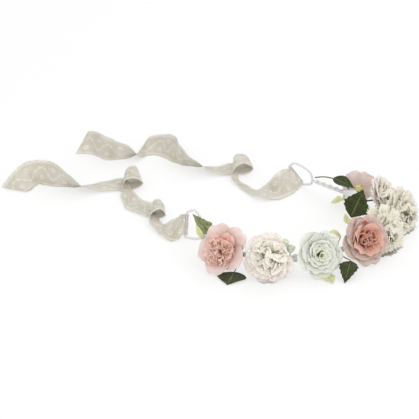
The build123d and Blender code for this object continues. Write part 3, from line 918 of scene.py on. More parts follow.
@dataclass
class Whorl:
    """A ring of petals on one seat; those round a given turn can be shorter."""

    petal: Petal
    count: int
    turn: float = 0.0
    roll: float = 6.0
    lift: float = 0.35
    thick: float = 0.35
    spread: float = 5.0
    short: float = 0.0
    short_at: float = 32.0
    stagger: float = 0.15

    def stand(self, cloth: ClothMesh, seat: Seat, rng: np.random.Generator) -> None:
        """Add the petals to a mesh.

        Args:
            cloth: Mesh to add to.
            seat: Where the whorl stands.
            rng: Source of its own small differences.
        """
        for number in range(self.count):
            points, uv, tone = self.petal.grid(rng)
            turn = self.turn + 360 * number / self.count + rng.normal(0, self.spread * 0.4)
            near = max(0.0, math.cos(math.radians(turn - self.short_at))) ** 3
            lift = self.lift + self.stagger * (number % 2)
            points = turned(points * (1 - self.short * near), turn, self.roll, lift)
            cloth.sheet(seat.place(points), self.thick, uv, tone, rng.random())


@dataclass
class RuffleBand:
    """A gathered strip of cloth that stands in a closed, folded loop."""

    radius: float
    height: float
    folds: int
    fold: float
    flare: float
    wave: float
    lift: float
    lobes: int
    lobe: float
    rows: int = 12
    columns: int = 150
    thick: float = 0.35
    least: float = 0.5

    def stand(self, cloth: ClothMesh, seat: Seat, rng: np.random.Generator) -> None:
        """Add the loop to a mesh.

        Args:
            cloth: Mesh to add to.
            seat: Where it stands.
            rng: Source of its own small differences.
        """
        h, a = np.meshgrid(np.linspace(0, 1, self.rows), np.linspace(0, TAU, self.columns, endpoint=False),
                           indexing="ij")
        p = rng.random(5) * TAU
        pleat = (0.75 * np.sin(self.folds * a + p[0] + 1.3 * np.sin(2 * a + p[1]))
                 + 0.35 * np.sin((self.folds + 3) * a + p[4] + h * 1.5))
        radius = self.radius * (1 + self.fold * h ** 0.7 * pleat) + self.flare * h ** 2
        radius = np.maximum(radius * (1 + self.lobe * np.sin(self.lobes * a + p[2]) * h ** 0.4), self.least)
        tall = self.height * (1 + 0.12 * np.sin(3 * a + p[3]) + 0.05 * np.sin(self.folds * 1.7 * a + p[4]))
        z = self.lift + tall * h + self.wave * h ** 3 * np.sin(2 * self.folds * a + p[2])
        around = a + 0.12 * h * np.cos(self.folds * a + p[0])
        grid = np.stack([radius * np.cos(around), radius * np.sin(around), z], axis=2)
        uv = np.stack([a / TAU, h * self.height], axis=2)
        cloth.sheet(seat.place(grid), self.thick, uv, 0.15 + 0.85 * h ** 1.3, rng.random(), closed=True)


@dataclass
class Swirl:
    """A strip of cloth rolled into a loose spiral, as at the heart of a rose."""

    inner: float
    outer: float
    turns: float
    height: float
    lift: float
    over: float
    up: float
    flatten: float
    flare: float
    rows: int = 10
    columns_a_turn: int = 56
    thick: float = 0.4
    shade: float = 0.2

    def stand(self, cloth: ClothMesh, seat: Seat, rng: np.random.Generator) -> None:
        """Add the spiral to a mesh.

        Args:
            cloth: Mesh to add to.
            seat: Where the flower's heart stands.
            rng: Source of its own small differences.
        """
        columns = int(self.columns_a_turn * self.turns)
        h, w = np.meshgrid(np.linspace(0, 1, self.rows), np.linspace(0, 1, columns), indexing="ij")
        start = rng.random() * TAU
        a = w * self.turns * TAU + start
        radius = (self.inner + (self.outer - self.inner) * w ** 0.9 + self.flare * h ** 2 * (0.3 + w)
                  + (0.25 + 0.5 * h ** 2) * np.sin(3.3 * a + start) * w)
        z = self.lift + self.height * h * (1.0 - 0.3 * w) + 0.7 * h ** 2 * np.sin(2.6 * a + start)
        grid = np.stack([self.over + radius * np.cos(a), self.up + self.flatten * radius * np.sin(a), z],
                        axis=2)
        uv = np.stack([a * radius, h * self.height], axis=2)
        tone = 0.1 + 0.85 * h ** 1.2 * (0.5 + 0.5 * w)
        cloth.sheet(seat.place(grid), self.thick, uv, tone, self.shade)


# ---------------------------------------------------------------- flowers

class Kind(Enum):
    """How a flower is made up."""

    ROSE = "rose"
    QUARTERED = "quartered"
    POM = "pom"
    SPIRAL = "spiral"
    SERRATED = "serrated"
    OPEN = "open"


Rings = dict[str, tuple[Finish, list[Any]]]


@dataclass
class Flower:
    """One flower, on the same seat as its solid."""

    name: str
    bearing: float
    facing: float
    tilt: float
    stand_off: float
    outer: float
    middle: float
    core: float
    kind: Kind
    lift: float = 0.0
    turn: float = -90.0
    reach: float = 1.3
    pale: bool = False

    band_radius: float = 84.0
    band_thick: float = 2.4
    calyx_height: float = 3.0
    petal_lift: float = 0.35
    table_gap: float = 0.3
    hub: float = 1.6
    inner_hub: float = 0.9
    hub_margin: float = 2.4
    rim_steps: tuple[tuple[float, float], ...] = ((0.72, 30.0), (0.42, 8.0))

    def rim_rise(self) -> float:
        """Height of the outer rim above the foot of the calyx."""
        rest = self.outer - self.core - self.hub_margin
        steps = sum(share * rest * math.sin(math.radians(slope)) for share, slope in self.rim_steps)
        return self.calyx_height + self.petal_lift + steps

    def seat(self) -> Seat:
        """Seat of the calyx's foot."""
        tilt = math.radians(self.tilt)
        height = self.outer * math.cos(tilt) - self.rim_rise() * math.sin(tilt) + self.table_gap + self.lift
        flat = heading(self.bearing) * (self.band_radius + self.band_thick / 2 + self.stand_off)
        return Seat.facing(np.array([flat[0], flat[1], height]), heading(self.facing, self.tilt))

    def _rose(self) -> Rings:
        """Cupped petals round a dense ruffle."""
        outer = Petal(self.outer * 1.1, self.outer * 1.16, (2, 24, 26, 8, -18), cup=0.24, ruffle=0.6,
                      waves=1.2, curl=2.2, shoulder=0.46)
        middle = Petal(self.middle + 0.5, self.middle * 0.95, (10, 50, 48, 30, 10), cup=0.3, ruffle=1.3,
                       waves=2.4, curl=0.8, shoulder=0.4)
        return {"outer": (PINK, [Whorl(outer, 5, self.turn)]),
                "middle": (PINK_INNER, [Whorl(middle, 4, self.turn - 20)]),
                "core": (CORAL, [])}

    def _quartered(self) -> Rings:
        """Two whorls round a heart in four rolled quarters, ringed by a ruffle."""
        outer = Petal(self.outer * 1.06, self.outer * 1.18, (2, 24, 26, 10, -14), cup=0.22, ruffle=0.8,
                      waves=1.4, curl=1.6, shoulder=0.44)
        inner = Petal(self.outer * 0.94, self.outer * 1.0, (8, 36, 32, 14, -8), cup=0.24, ruffle=0.8,
                      waves=1.6, curl=1.4, shoulder=0.42)
        middle = Petal(self.middle * 1.1, self.middle * 1.05, (14, 58, 54, 32, 8), cup=0.32, ruffle=0.9,
                       waves=1.8, curl=0.6)
        between = Petal(self.core * 0.8, 9.0, (40, 80, 80, 66, 30), cup=0.3, ruffle=1.5, waves=2.2, start=1.0)
        heart = [Swirl(1.0, 5.4, 1.6, 10.4, 0.4, -4.6, 0.4, 1.1, 1.3),
                 Swirl(1.0, 5.2, 1.7, 10.8, 0.4, 4.6, 1.6, 1.0, 1.3),
                 Swirl(0.9, 5.0, 1.3, 10.4, 0.4, 0.4, 8.2, 1.5, 1.3),
                 Swirl(0.9, 5.2, 1.4, 9.6, 0.4, 0.6, -7.6, 1.3, 1.3),
                 Whorl(between, 7, 12.0, roll=10.0, lift=0.3, spread=9.0),
                 RuffleBand(self.core * 1.02, 7.8, 7, 0.1, 2.2, 0.8, 0.3, 2, 0.08)]
        return {"outer": (DUSK, [Whorl(outer, 5, self.turn), Whorl(inner, 5, self.turn + 36, lift=0.9)]),
                "middle": (DUSK_INNER, [Whorl(middle, 5, self.turn + 12)]),
                "core": (CORAL_DEEP, heart)}

    def _spiral(self) -> Rings:
        """Four whorls, steeper towards a rolled heart."""
        outer = Petal(self.outer * 1.1, self.outer * 1.2, (4, 24, 20, 4, -16), cup=0.2, ruffle=0.7, waves=1.4,
                      curl=1.8, shoulder=0.44)
        inner = Petal(self.outer * 0.96, self.outer * 1.04, (8, 36, 32, 10, -10), cup=0.22, ruffle=0.7,
                      waves=1.5, curl=1.4, shoulder=0.42)
        middle = Petal(self.middle, self.middle * 1.08, (12, 54, 48, 22, -4), cup=0.3, ruffle=0.6, waves=1.6,
                       curl=0.9)
        steep = Petal(self.middle * 0.86, self.middle * 0.94, (20, 66, 62, 40, 12), cup=0.35, ruffle=0.5,
                      waves=1.6, curl=0.5)
        wrap = Petal(self.core * 1.15, self.core * 1.25, (40, 72, 64, 40, 10), cup=0.36, ruffle=0.5)
        return {"outer": (WHITE, [Whorl(outer, 5, self.turn), Whorl(inner, 5, self.turn + 36, lift=1.0)]),
                "middle": (WHITE, [Whorl(middle, 5, self.turn + 10),
                                   Whorl(steep, 4, self.turn + 44, lift=0.6)]),
                "core": (WHITE_HEART, [Swirl(0.7, self.core * 0.6, 1.5, 5.6, 2.2, 1.8, -1.4, 1.0, 2.4),
                                       Whorl(wrap, 5, 20.0, lift=0.2)])}

    def _pom(self) -> Rings:
        """Three whorls of frilled petals, shorter on the side of the buds, round a frilled dome."""
        outer = Petal(self.outer * 1.1, self.outer * 1.1, (2, 18, 16, 4, -14), cup=0.12, ruffle=1.7,
                      waves=1.6, teeth=9, tooth=0.7, shoulder=0.36, columns=37)
        inner = Petal(self.outer * 0.98, self.outer * 1.0, (8, 34, 28, 10, -10), cup=0.12, ruffle=1.8,
                      waves=1.7, teeth=9, tooth=0.7, shoulder=0.34, columns=37)
        middle = Petal(self.middle + 2, self.middle * 1.1, (16, 46, 42, 22, 0), cup=0.12, ruffle=1.7,
                       waves=1.8, teeth=8, tooth=0.7, shoulder=0.32, columns=33)
        return {"outer": (BLUSH, [Whorl(outer, 6, self.turn, short=0.45),
                                  Whorl(inner, 6, self.turn + 30, lift=0.8, short=0.4)]),
                "middle": (CREAM, [Whorl(middle, 7, self.turn + 20, short=0.25)]),
                "core": (CREAM, [])}

    def _serrated(self) -> Rings:
        """Three whorls of toothed petals round a toothed dome."""
        toothed = {"cup": 0.12, "ruffle": 1.1, "teeth": 5, "shoulder": 0.24, "columns": 31}
        outer = Petal(self.outer * self.reach, self.outer * 0.92, (2, 14, 18, 4, -20), waves=1.6, tooth=2.6,
                      **toothed)
        inner = Petal(self.outer * 1.14, self.outer * 0.86, (8, 32, 28, 8, -12), waves=1.6, tooth=2.3,
                      **toothed)
        middle = Petal(self.middle + 4.0, self.middle * 0.95, (16, 48, 42, 22, 0), waves=1.7, tooth=2.0,
                       **(toothed | {"cup": 0.15}))
        finish = CREAM if self.pale else SAGE_CREAM
        return {"outer": (BLUSH if self.pale else SAGE_CREAM,
                          [Whorl(outer, 9, self.turn), Whorl(inner, 8, self.turn + 20, lift=0.8)]),
                "middle": (finish, [Whorl(middle, 8, self.turn + 25)]),
                "core": (finish, [])}

    def _open(self) -> Rings:
        """Two whorls round a tuft of stamens."""
        outer = Petal(self.outer * 1.08, self.outer * 1.16, (4, 24, 20, 6, -12), cup=0.2, ruffle=0.8,
                      waves=1.4, curl=1.2, shoulder=0.44)
        middle = Petal(self.middle, self.middle * 1.0, (14, 48, 40, 22, 6), cup=0.25, ruffle=0.8, waves=1.8)
        return {"outer": (PINK_PALE, [Whorl(outer, 5, self.turn)]),
                "middle": (PINK_PALE, [Whorl(middle, 5, self.turn + 36)]),
                "core": (STAMEN, [])}

    def rings(self) -> Rings:
        """Finish and rings of petals of the outer whorl, the middle whorl and the core."""
        makers = {Kind.ROSE: self._rose, Kind.QUARTERED: self._quartered, Kind.SPIRAL: self._spiral,
                  Kind.POM: self._pom, Kind.SERRATED: self._serrated, Kind.OPEN: self._open}
        return makers[self.kind]()

    def heart(self, heads: "Heads", seat: Seat, finish: Finish) -> bpy.types.Object:
        """Make a heart that is many copies of one small shape.

        Args:
            heads: Maker of such hearts.
            seat: Where the core stands.
            finish: Finish of the core.

        Returns:
            The piece.
        """
        frills, florets = f"{self.name}_frills", f"{self.name}_florets"
        if self.kind is Kind.POM:
            floret = Petal(9.0, 13.5, (74, 44, 12, -14), cup=0.1, ruffle=1.2, waves=1.6, teeth=7, tooth=0.6,
                           shoulder=0.34, start=0.2, claw=0.24, rows=9, columns=29)
            return heads.frills(frills, seat, finish, floret, self.core * 0.86, 54, 1.75)
        if self.kind is Kind.ROSE:
            floret = Petal(9.0, 10.5, (86, 80, 66, 44), cup=0.14, ruffle=2.0, waves=2.2, start=0.2, claw=0.2,
                           rows=9, columns=21)
            low_seat = seat.raised(0.0, -2.0, -3.0)
            return heads.frills(frills, low_seat, finish, floret, self.core * 0.58, 46, 1.5)
        if self.kind is Kind.SERRATED:
            floret = Petal(9.4, 11.5, (70, 38, 8, -14), cup=0.1, ruffle=0.8, waves=1.5, teeth=5, tooth=1.5,
                           shoulder=0.24, start=0.2, claw=0.28, rows=8, columns=21)
            return heads.frills(florets, seat, finish, floret, self.outer * 0.4, 36, 1.6)
        return heads.stamens(f"{self.name}_stamens", seat, finish, self.core * 0.5)

    def build(self, heads: "Heads") -> None:
        """Make the flower's pieces.

        Args:
            heads: Makers of the repeated details at the heart.
        """
        rng = np.random.default_rng(sum(map(ord, self.name)))
        foot = self.seat().raised(self.calyx_height)
        seats = {"outer": foot, "middle": foot.raised(self.hub),
                 "core": foot.raised(self.hub + self.inner_hub)}
        for part, (finish, rings) in self.rings().items():
            if part == "core" and not rings:
                settle(self.heart(heads, seats[part], finish), finish, "crown", f"{self.name}_core")
                continue
            cloth = ClothMesh()
            for ring in rings:
                ring.stand(cloth, seats[part], rng)
            cloth.settle_on(heading(self.facing))
            node = f"{self.name}_core" if part == "core" else f"{self.name}_{part}_petals"
            settle(cloth.build(f"{self.name}_{part}_cloth"), finish, "crown", node)


@dataclass(frozen=True)
class Heads:
    """Makes the hearts of flowers that are many copies of one small shape."""

    floret_thick: float = 0.3
    floret_shade: float = 0.3
    floret_top: float = 0.08
    floret_seeds: tuple[int, int] = (11, 5)
    floret_sizes: tuple[float, float] = (0.74, 1.18)
    stamen_dome: tuple[float, float] = (1.0, 0.05)
    stamen_count: int = 30
    stamen_seed: int = 2
    stamen_sizes: tuple[float, float] = (0.7, 1.05)
    stamen_heights: tuple[float, ...] = (0, 2.2, 4.2, 4.6, 5.2, 5.7, 5.9)
    stamen_radii: tuple[float, ...] = (0.3, 0.22, 0.22, 0.55, 0.62, 0.4, 0.12)
    stamen_sides: int = 8

    @staticmethod
    def _dome(maker: Repeater) -> tuple[Link, Link]:
        """Points spread evenly over a dome.

        Args:
            maker: Tree with inputs Count, Radius, Lowest and Highest.

        Returns:
            Points, and the direction of each from the middle.
        """
        bench = maker.bench
        index = bench.add("GeometryNodeInputIndex")
        share = (index + 0.5) / maker.given("Count")
        polar = maker.given("Highest") + share.root() * (maker.given("Lowest") - maker.given("Highest"))
        around = index * GOLDEN
        direction = bench.add("ShaderNodeCombineXYZ", None, {
            0: polar.sin() * around.cos(), 1: polar.sin() * around.sin(), 2: polar.cos()})
        place = bench.add("ShaderNodeVectorMath", {"operation": "SCALE"},
                          {0: direction, "Scale": maker.given("Radius")})
        return bench.add("GeometryNodePoints", None, {0: maker.given("Count"), 1: place}), direction

    def _crowd(self, name: str, seat: Seat, finish: Finish, shape: bpy.types.Object,
               dome: tuple[int, float, float, float], seed: int, sizes: tuple[float, float],
               spun: bool) -> bpy.types.Object:
        """Copies of one shape that stand all over a dome.

        Args:
            name: Name of the piece.
            seat: Where the dome stands.
            finish: Finish of the copies.
            shape: The shape, standing up from its foot; it is removed afterwards.
            dome: How many copies, radius of the dome, and the lowest and highest angle from its top in
                radians.
            seed: Seed of their small differences.
            sizes: Size of the smallest and the largest copy.
            spun: Whether each copy is turned about its own axis.

        Returns:
            The piece.
        """
        count, radius, lowest, highest = dome
        maker = Repeater(f"{name}_crowd", [
            ("Count", "NodeSocketInt", count), ("Radius", "NodeSocketFloat", radius * MM),
            ("Lowest", "NodeSocketFloat", lowest), ("Highest", "NodeSocketFloat", highest),
            ("Seed", "NodeSocketInt", seed), ("Shape", "NodeSocketObject", shape)])
        bench = maker.bench
        dots, direction = self._dome(maker)
        aim = bench.add("FunctionNodeAlignRotationToVector", {"axis": "Z"}, {"Vector": direction})
        if spun:
            spin = bench.add("ShaderNodeCombineXYZ", None, {2: bench.random(0.0, TAU, maker.given("Seed"))})
            aim = bench.add("FunctionNodeRotateRotation", {"rotation_space": "LOCAL"}, {0: aim, 1: spin})
        size = bench.random(*sizes, maker.given("Seed") + 1)
        maker.copy(dots, "Shape", aim, size, finish.material())
        head = maker.make(name, bpy.data.meshes.new(name + "_anchor"))
        bpy.data.objects.remove(shape)
        turn = Matrix([Vector(seat.x), Vector(seat.y), Vector(seat.z)]).transposed().to_4x4()
        head.data.transform(Matrix.Translation(Vector(seat.origin * MM)) @ turn)
        return head

    def frills(self, name: str, seat: Seat, finish: Finish, floret: Petal, radius: float, count: int,
               lowest: float) -> bpy.types.Object:
        """A dome of packed florets.

        Args:
            name: Name of the piece.
            seat: Where the head stands.
            finish: Finish of the florets.
            floret: Shape of one floret, standing up from its foot.
            radius: Radius of the dome that their feet stand on.
            count: How many there are.
            lowest: Angle of the last florets from the top of the dome, in radians.

        Returns:
            The piece.
        """
        shape_seed, crowd_seed = self.floret_seeds
        cloth = ClothMesh()
        points, uv, tone = floret.grid(np.random.default_rng(shape_seed))
        cloth.sheet(points - [floret.start, 0, 0], self.floret_thick, uv, 0.3 + 0.7 * tone, self.floret_shade)
        return self._crowd(name, seat, finish, cloth.build(name + "_one"),
                           (count, radius, lowest, self.floret_top), crowd_seed, self.floret_sizes, True)

    def stamens(self, name: str, seat: Seat, finish: Finish, radius: float) -> bpy.types.Object:
        """A tuft of stamens, each a filament with its anther.

        Args:
            name: Name of the piece.
            seat: Where the tuft stands.
            finish: Finish of the stamens.
            radius: Radius of the dome that their feet stand on.

        Returns:
            The piece.
        """
        cloth = ClothMesh()
        line = np.array(self.stamen_heights)[:, None] * UPWARDS
        cloth.bar(line, np.array(self.stamen_radii), self.stamen_sides, X_AXIS, tone=0.5)
        return self._crowd(name, seat, finish, cloth.build(name + "_one"),
                           (self.stamen_count, radius, *self.stamen_dome), self.stamen_seed,
                           self.stamen_sizes, False)


# ---------------------------------------------------------------- band, bindings and stems

@dataclass(frozen=True)
class Winding:
    """Tape or thread wound round a stretch of the band, each turn lapping the last."""

    node: str
    low: float
    high: float
    wall: float
    lap: float
    relief: float
    finish: Finish
    step: float = 0.35
    sides: int = 40
    squareness: float = 0.55
    end_round: float = 0.8
    end_size: float = 0.25

    def build(self, band: "Band", name: str) -> None:
        """Make the wound stretch.

        Args:
            band: Band that it is wound round.
            name: Name of the piece.
        """
        count = max(12, int(math.radians(self.high - self.low) * band.radius / self.step))
        bearings = np.linspace(self.low, self.high, count)
        along = np.radians(bearings - self.low) * band.radius
        turn = np.linspace(0, TAU, self.sides, endpoint=False)
        half_x, half_z = band.thick / 2 + self.wall, band.depth / 2 + self.wall
        across = np.sign(np.cos(turn)) * np.abs(np.cos(turn)) ** self.squareness * half_x
        upward = np.sign(np.sin(turn)) * np.abs(np.sin(turn)) ** self.squareness * half_z
        saw = (along[:, None] / self.lap + turn[None] / TAU) % 1.0
        swell = self.relief * (1 - saw) * np.clip(saw * 8, 0, 1) - self.relief * 0.5
        ends = np.minimum(along, along[::-1])[:, None] / max(self.wall, self.end_round) + self.end_size
        size = (1 + swell / half_z) * np.minimum(1, ends) ** 0.5
        out = np.stack([np.cos(np.radians(bearings)), np.sin(np.radians(bearings)), 0 * bearings], axis=1)
        rings = (out[:, None] * (band.radius + across[None] * size)[..., None]
                 + UPWARDS * (band.height + upward[None] * size)[..., None])
        cloth = ClothMesh()
        cloth.tube(rings, ring_places(along, self.sides), 0.5)
        settle(cloth.build(name), self.finish, "crown", self.node)


@dataclass
class Band:
    """The taped ring and the bindings over it."""

    radius: float = 84.0
    height: float = 15.0
    thick: float = 2.4
    depth: float = 5.0
    gap: float = 0.05
    tape: Winding = Winding("wrapped_band", 214.0, 400.0, 0.0, 4.2, 0.35, TAPE)
    bindings: tuple[Winding, ...] = (Winding("near_binding", 212.4, 219.0, 1.6, 1.1, 0.3, THREAD),
                                     Winding("front_binding", 275.0, 281.0, 1.0, 1.1, 0.3, THREAD),
                                     Winding("far_binding", 389.0, 401.6, 3.0, 3.6, 0.3, TAPE))

    def point(self, bearing: float, out: float = 0.0, up: float = 0.0) -> Array:
        """Point on or beside the middle line of the band."""
        return heading(bearing) * (self.radius + out) + np.array([0, 0, self.height + up])

    def cover(self, bearing: float) -> float:
        """Distance from the band to what stands on it at a bearing, over the binding if there is one."""
        walls = [binding.wall for binding in self.bindings
                 if binding.low <= bearing % 360 <= binding.high
                 or binding.low <= bearing % 360 + 360 <= binding.high]
        return max([wall + self.gap for wall in walls], default=0.0) + self.gap

    def build(self) -> None:
        """Make the taped ring and its bindings, and dress the stems."""
        self.tape.build(self, "band_tape")
        for binding in self.bindings:
            binding.build(self, binding.node + "_winding")
        for name in sorted(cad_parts):
            if name.endswith("_stem"):
                (CALYX_YELLOW if name == "far_rose_stem" else STEM).dress(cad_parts[name])


@dataclass
class Eye:
    """Cotton-covered wire bent into the eye at one end of the ring, its two legs twisted together."""

    name: str
    bearing: float
    outward: int
    foot: Array
    top: Array
    shank_side: Array
    crossing: tuple[float, float]
    upper_bow: tuple[tuple[float, float], ...]
    lower_bow: tuple[tuple[float, float], ...]
    wire: float = 2.3
    bound: float = 5.0
    bar: float = 24.09
    bar_bends: tuple[float, ...] = (1.8, 3.0, 5.0)
    corner: tuple[float, float] = (0.3, 0.6)
    turns: float = 2.5
    twist_gap: float = 0.02
    spacing: float = 0.4
    fine_spacing: float = 0.35
    sides: int = 14
    cotton_pitch: float = 1.4
    cotton_relief: float = 0.16

    @property
    def rise(self) -> Array:
        """Direction of the bar, from its foot to its top."""
        return unit(self.top - self.foot)

    @property
    def reach(self) -> Array:
        """Direction from the bar towards the shank, square to the bar."""
        toward = self.shank_side - self.foot
        return unit(toward - self.rise * (toward @ self.rise))

    def at(self, along: float, up: float) -> Array:
        """Point of the eye's plane."""
        return self.foot + self.reach * along + self.rise * up

    def route(self, band: Band) -> Array:
        """Middle line of the wire, from its bound end round the eye and back."""
        end = band.point(self.bearing)
        bound = end + heading(self.bearing + 90 * self.outward) * self.bound
        crossing = self.at(*self.crossing)
        shank = smooth_path(np.array([end, bound, (bound + crossing) / 2, crossing]), self.spacing)
        across, up = carried_frames(shank, UPWARDS)
        turns = self.turns * TAU * np.clip((np.linspace(0, 1, len(shank)) - 0.1) / 0.9, 0, 1)
        aside = across * np.cos(turns)[:, None] + up * np.sin(turns)[:, None]
        offset = aside * (self.wire / 2 + self.twist_gap)
        inwards, inset = self.corner
        down = [self.bar - rise for rise in self.bar_bends] + [self.bar / 2, *reversed(self.bar_bends)]
        loop = [crossing + offset[-1] * 0.6] + [self.at(*p) for p in reversed(self.upper_bow)]
        loop += [self.at(inwards, self.bar - inset)] + [self.at(0, height) for height in down]
        loop += [self.at(inwards, inset)] + [self.at(*p) for p in self.lower_bow]
        loop.append(crossing - offset[-1] * 0.6)
        middle = smooth_path(np.array(loop), self.spacing)
        whole = np.concatenate([(shank + offset)[:-3:4], middle[2:-2:3], (shank - offset)[-4::-4]])
        return smooth_path(whole, self.fine_spacing)

    def build(self, band: Band) -> None:
        """Make the covered wire."""
        path = self.route(band)
        turn = np.linspace(0, TAU, self.sides, endpoint=False)
        ridge = np.abs(np.sin(run_along(path)[:, None] * math.pi / self.cotton_pitch + turn[None] / 2))
        cloth = ClothMesh()
        cloth.bar(path, self.wire / 2 - self.cotton_relief * (1 - ridge), self.sides, tone=0.5)
        settle(cloth.build(f"{self.name}_eye_cotton"), WIRE_COTTON, "crown", f"{self.name}_eye_wire")


# ---------------------------------------------------------------- leaves and buds

@dataclass
class Leaf:
    """One cloth leaf on its wire, from its base to its tip."""

    name: str
    bearing: float
    face: str
    base: tuple[float, float, float]
    tip: tuple[float, float, float]
    look: tuple[float, float, float]
    width: float
    teeth: int
    fold: float = 14.0
    finish: Finish = DARK_LEAF
    widest: float = 0.42
    point: float = 1.7
    tail: tuple[float, float, float] | None = None
    stem: float = 1.2
    arch: float = 0.05
    thick: float = 0.4
    columns: int = 19
    rows: int = 30
    rows_a_tooth: int = 12
    tooth_depth: float = 0.16
    tooth_rake: float = 0.06
    vein_pitch: float = 2.6
    vein_slant: float = 0.9
    vein_depth: float = 0.22
    rib_width: float = 0.5
    rib_depth: float = 0.3
    wave: float = 0.25
    clearance: float = 0.3
    nearly_flat: float = 5.0
    lowest: float = 0.5
    wire_lap: float = 0.35
    wire_bow: float = 0.12
    wire_taper: float = 1.7
    wire_sides: int = 10
    wire_spacing: float = 0.8
    wire_paint: float = 0.02
    tail_lap: float = 0.2
    tail_rise: float = 1.2

    @property
    def toothed(self) -> bool:
        """Whether the rim has teeth."""
        return self.teeth > 1

    def root(self, band: Band) -> tuple[Array, Array]:
        """Where the wire leaves the band, and the direction that it leaves in."""
        over = band.cover(self.bearing)
        if self.face == "top":
            return band.point(self.bearing, up=band.depth / 2 + over), UPWARDS
        side = 1 if self.face == "outer" else -1
        return band.point(self.bearing, out=side * (band.thick / 2 + over)), heading(self.bearing) * side

    def _breadth(self, s: Array) -> Array:
        """Breadth at shares of the blade's length, as a share of its largest, with its teeth."""
        growing = np.sin(math.pi / 2 * np.clip(s / self.widest, 0, 1)) ** 0.75
        breadth = growing * (1 - np.clip((s - self.widest) / (1 - self.widest), 0, 1) ** self.point)
        breadth = np.maximum(breadth, 0.02)
        if not self.toothed:
            return breadth * (1 + 0.015 * np.sin(s * 60))
        saw = (s * self.teeth) % 1.0
        return breadth * (1 - self.tooth_depth * (1 - saw) * np.clip(saw * 6, 0, 1))

    def _blade(self, length: float) -> tuple[Array, Array, Array]:
        """The blade in its own axes.

        Args:
            length: Its length.

        Returns:
            Points along it, across it and out of its face; flat places; shares along it.
        """
        rows = self.teeth * self.rows_a_tooth if self.toothed else self.rows
        s = np.linspace(0, 1, rows + 1)[:, None]
        t = np.linspace(-1, 1, self.columns)[None]
        breadth = self._breadth(s)
        half = self.width / 2 * breadth
        x, y = np.broadcast_to(s * length, (rows + 1, self.columns)), half * t
        if self.toothed:
            x = x + np.abs(t) ** 4 * (self.width * self.tooth_rake) * breadth
        vein = np.abs(((x - np.abs(y) * self.vein_slant) / self.vein_pitch) % 1.0 - 0.5) * 2
        z = np.abs(y) * math.tan(math.radians(self.fold))
        z = z - self.vein_depth * (1 - vein) ** 3 * np.clip(half / 3, 0, 1) * (1 - np.abs(t) ** 6)
        z = z - self.rib_depth * np.exp(-(y / self.rib_width) ** 2)
        z = z + self.wave * np.sin(s * 11 + self.bearing) * t ** 3 + self.clearance
        if self.fold > self.nearly_flat:
            z = z + length * self.arch * (np.sin(math.pi * s) - 0.2 * s)
        return np.stack([x, y, z], axis=2), np.stack([np.broadcast_to(t, y.shape), x], axis=2), s

    def build(self, band: Band) -> None:
        """Make the blade and its wire."""
        base, tip = np.array(self.base, float), np.array(self.tip, float)
        length = float(np.linalg.norm(tip - base))
        along = (tip - base) / length
        look = np.array(self.look, float)
        up = unit(look - along * (look @ along))
        points, uv, share = self._blade(length)
        grid = Seat(base, along, np.cross(up, along), up).place(points)
        grid[..., 2] = np.maximum(grid[..., 2], self.lowest)
        cloth = ClothMesh()
        cloth.sheet(grid, self.thick, uv, share)
        root, out = self.root(band)
        middle = (root + base) / 2 + out * self.wire_bow * np.linalg.norm(base - root)
        under = base + along * length * self.wire_lap + up * 0.1
        wire = smooth_path(np.array([root, middle, base, under]), self.wire_spacing)
        taper = np.linspace(self.stem / 2, self.stem / 2 / self.wire_taper, len(wire))
        cloth.bar(wire, taper, self.wire_sides, around=self.wire_paint)
        if self.tail:
            end = np.array(self.tail)
            bow = (base + end) / 2 + UPWARDS * self.tail_rise
            under = base + along * length * self.tail_lap
            rest = smooth_path(np.array([under, base, bow, end]), self.wire_spacing)
            cloth.bar(rest, self.stem / 2, self.wire_sides, around=self.wire_paint)
        settle(cloth.build(f"{self.name}_cloth"), self.finish, "crown", self.name)


@dataclass
class Bud:
    """Half-open bud on a wire: a pointed heart with pale scales round it."""

    name: str
    bearing: float
    centre: tuple[float, float, float]
    size: float
    wire: float = 1.2
    wire_sides: int = 10
    wire_rings: int = 8
    rows: int = 16
    sides: int = 30
    slimness: float = 1.25
    widest: float = 0.42
    flutes: float = 1.5
    flute_depth: float = 0.12
    twist: float = 2.4
    scales: int = 5
    scale_turn: float = 10.0

    def build(self, band: Band) -> None:
        """Make the bud and its wire."""
        root = band.point(self.bearing, up=band.depth / 2 + band.cover(self.bearing))
        centre = np.array(self.centre)
        along = unit(centre - root)
        cloth = ClothMesh()
        line = np.linspace(root, centre - along * self.size * 0.4, self.wire_rings)
        cloth.bar(line, self.wire / 2, self.wire_sides, X_AXIS)
        s = np.linspace(0, 1, self.rows)
        turn = np.linspace(0, TAU, self.sides, endpoint=False)
        girth = self.size * 0.5 * np.sin(math.pi * (0.1 + 0.86 * s) ** 0.85)
        fluted = 1 + self.flute_depth * np.abs(np.sin(self.flutes * turn[None] + self.twist * s[:, None]))
        line = centre + along * ((s - self.widest) * self.size * self.slimness)[:, None]
        cloth.bar(line, girth[:, None] * fluted, self.sides, X_AXIS, tone=s[:, None])
        scale = Petal(self.size * 0.95, self.size * 0.8, (30, 62, 60, 40), cup=0.3, ruffle=0.3, start=0.3,
                      rows=8, columns=11)
        seat = Seat.facing(centre - along * self.size * 0.45, along + np.array([0.02, 0, 0]))
        rng = np.random.default_rng(int(self.bearing * 2))
        Whorl(scale, self.scales, self.scale_turn).stand(cloth, seat, rng)
        settle(cloth.build(f"{self.name}_scales"), PALE_BUD, "crown", self.name)


# ---------------------------------------------------------------- ribbons

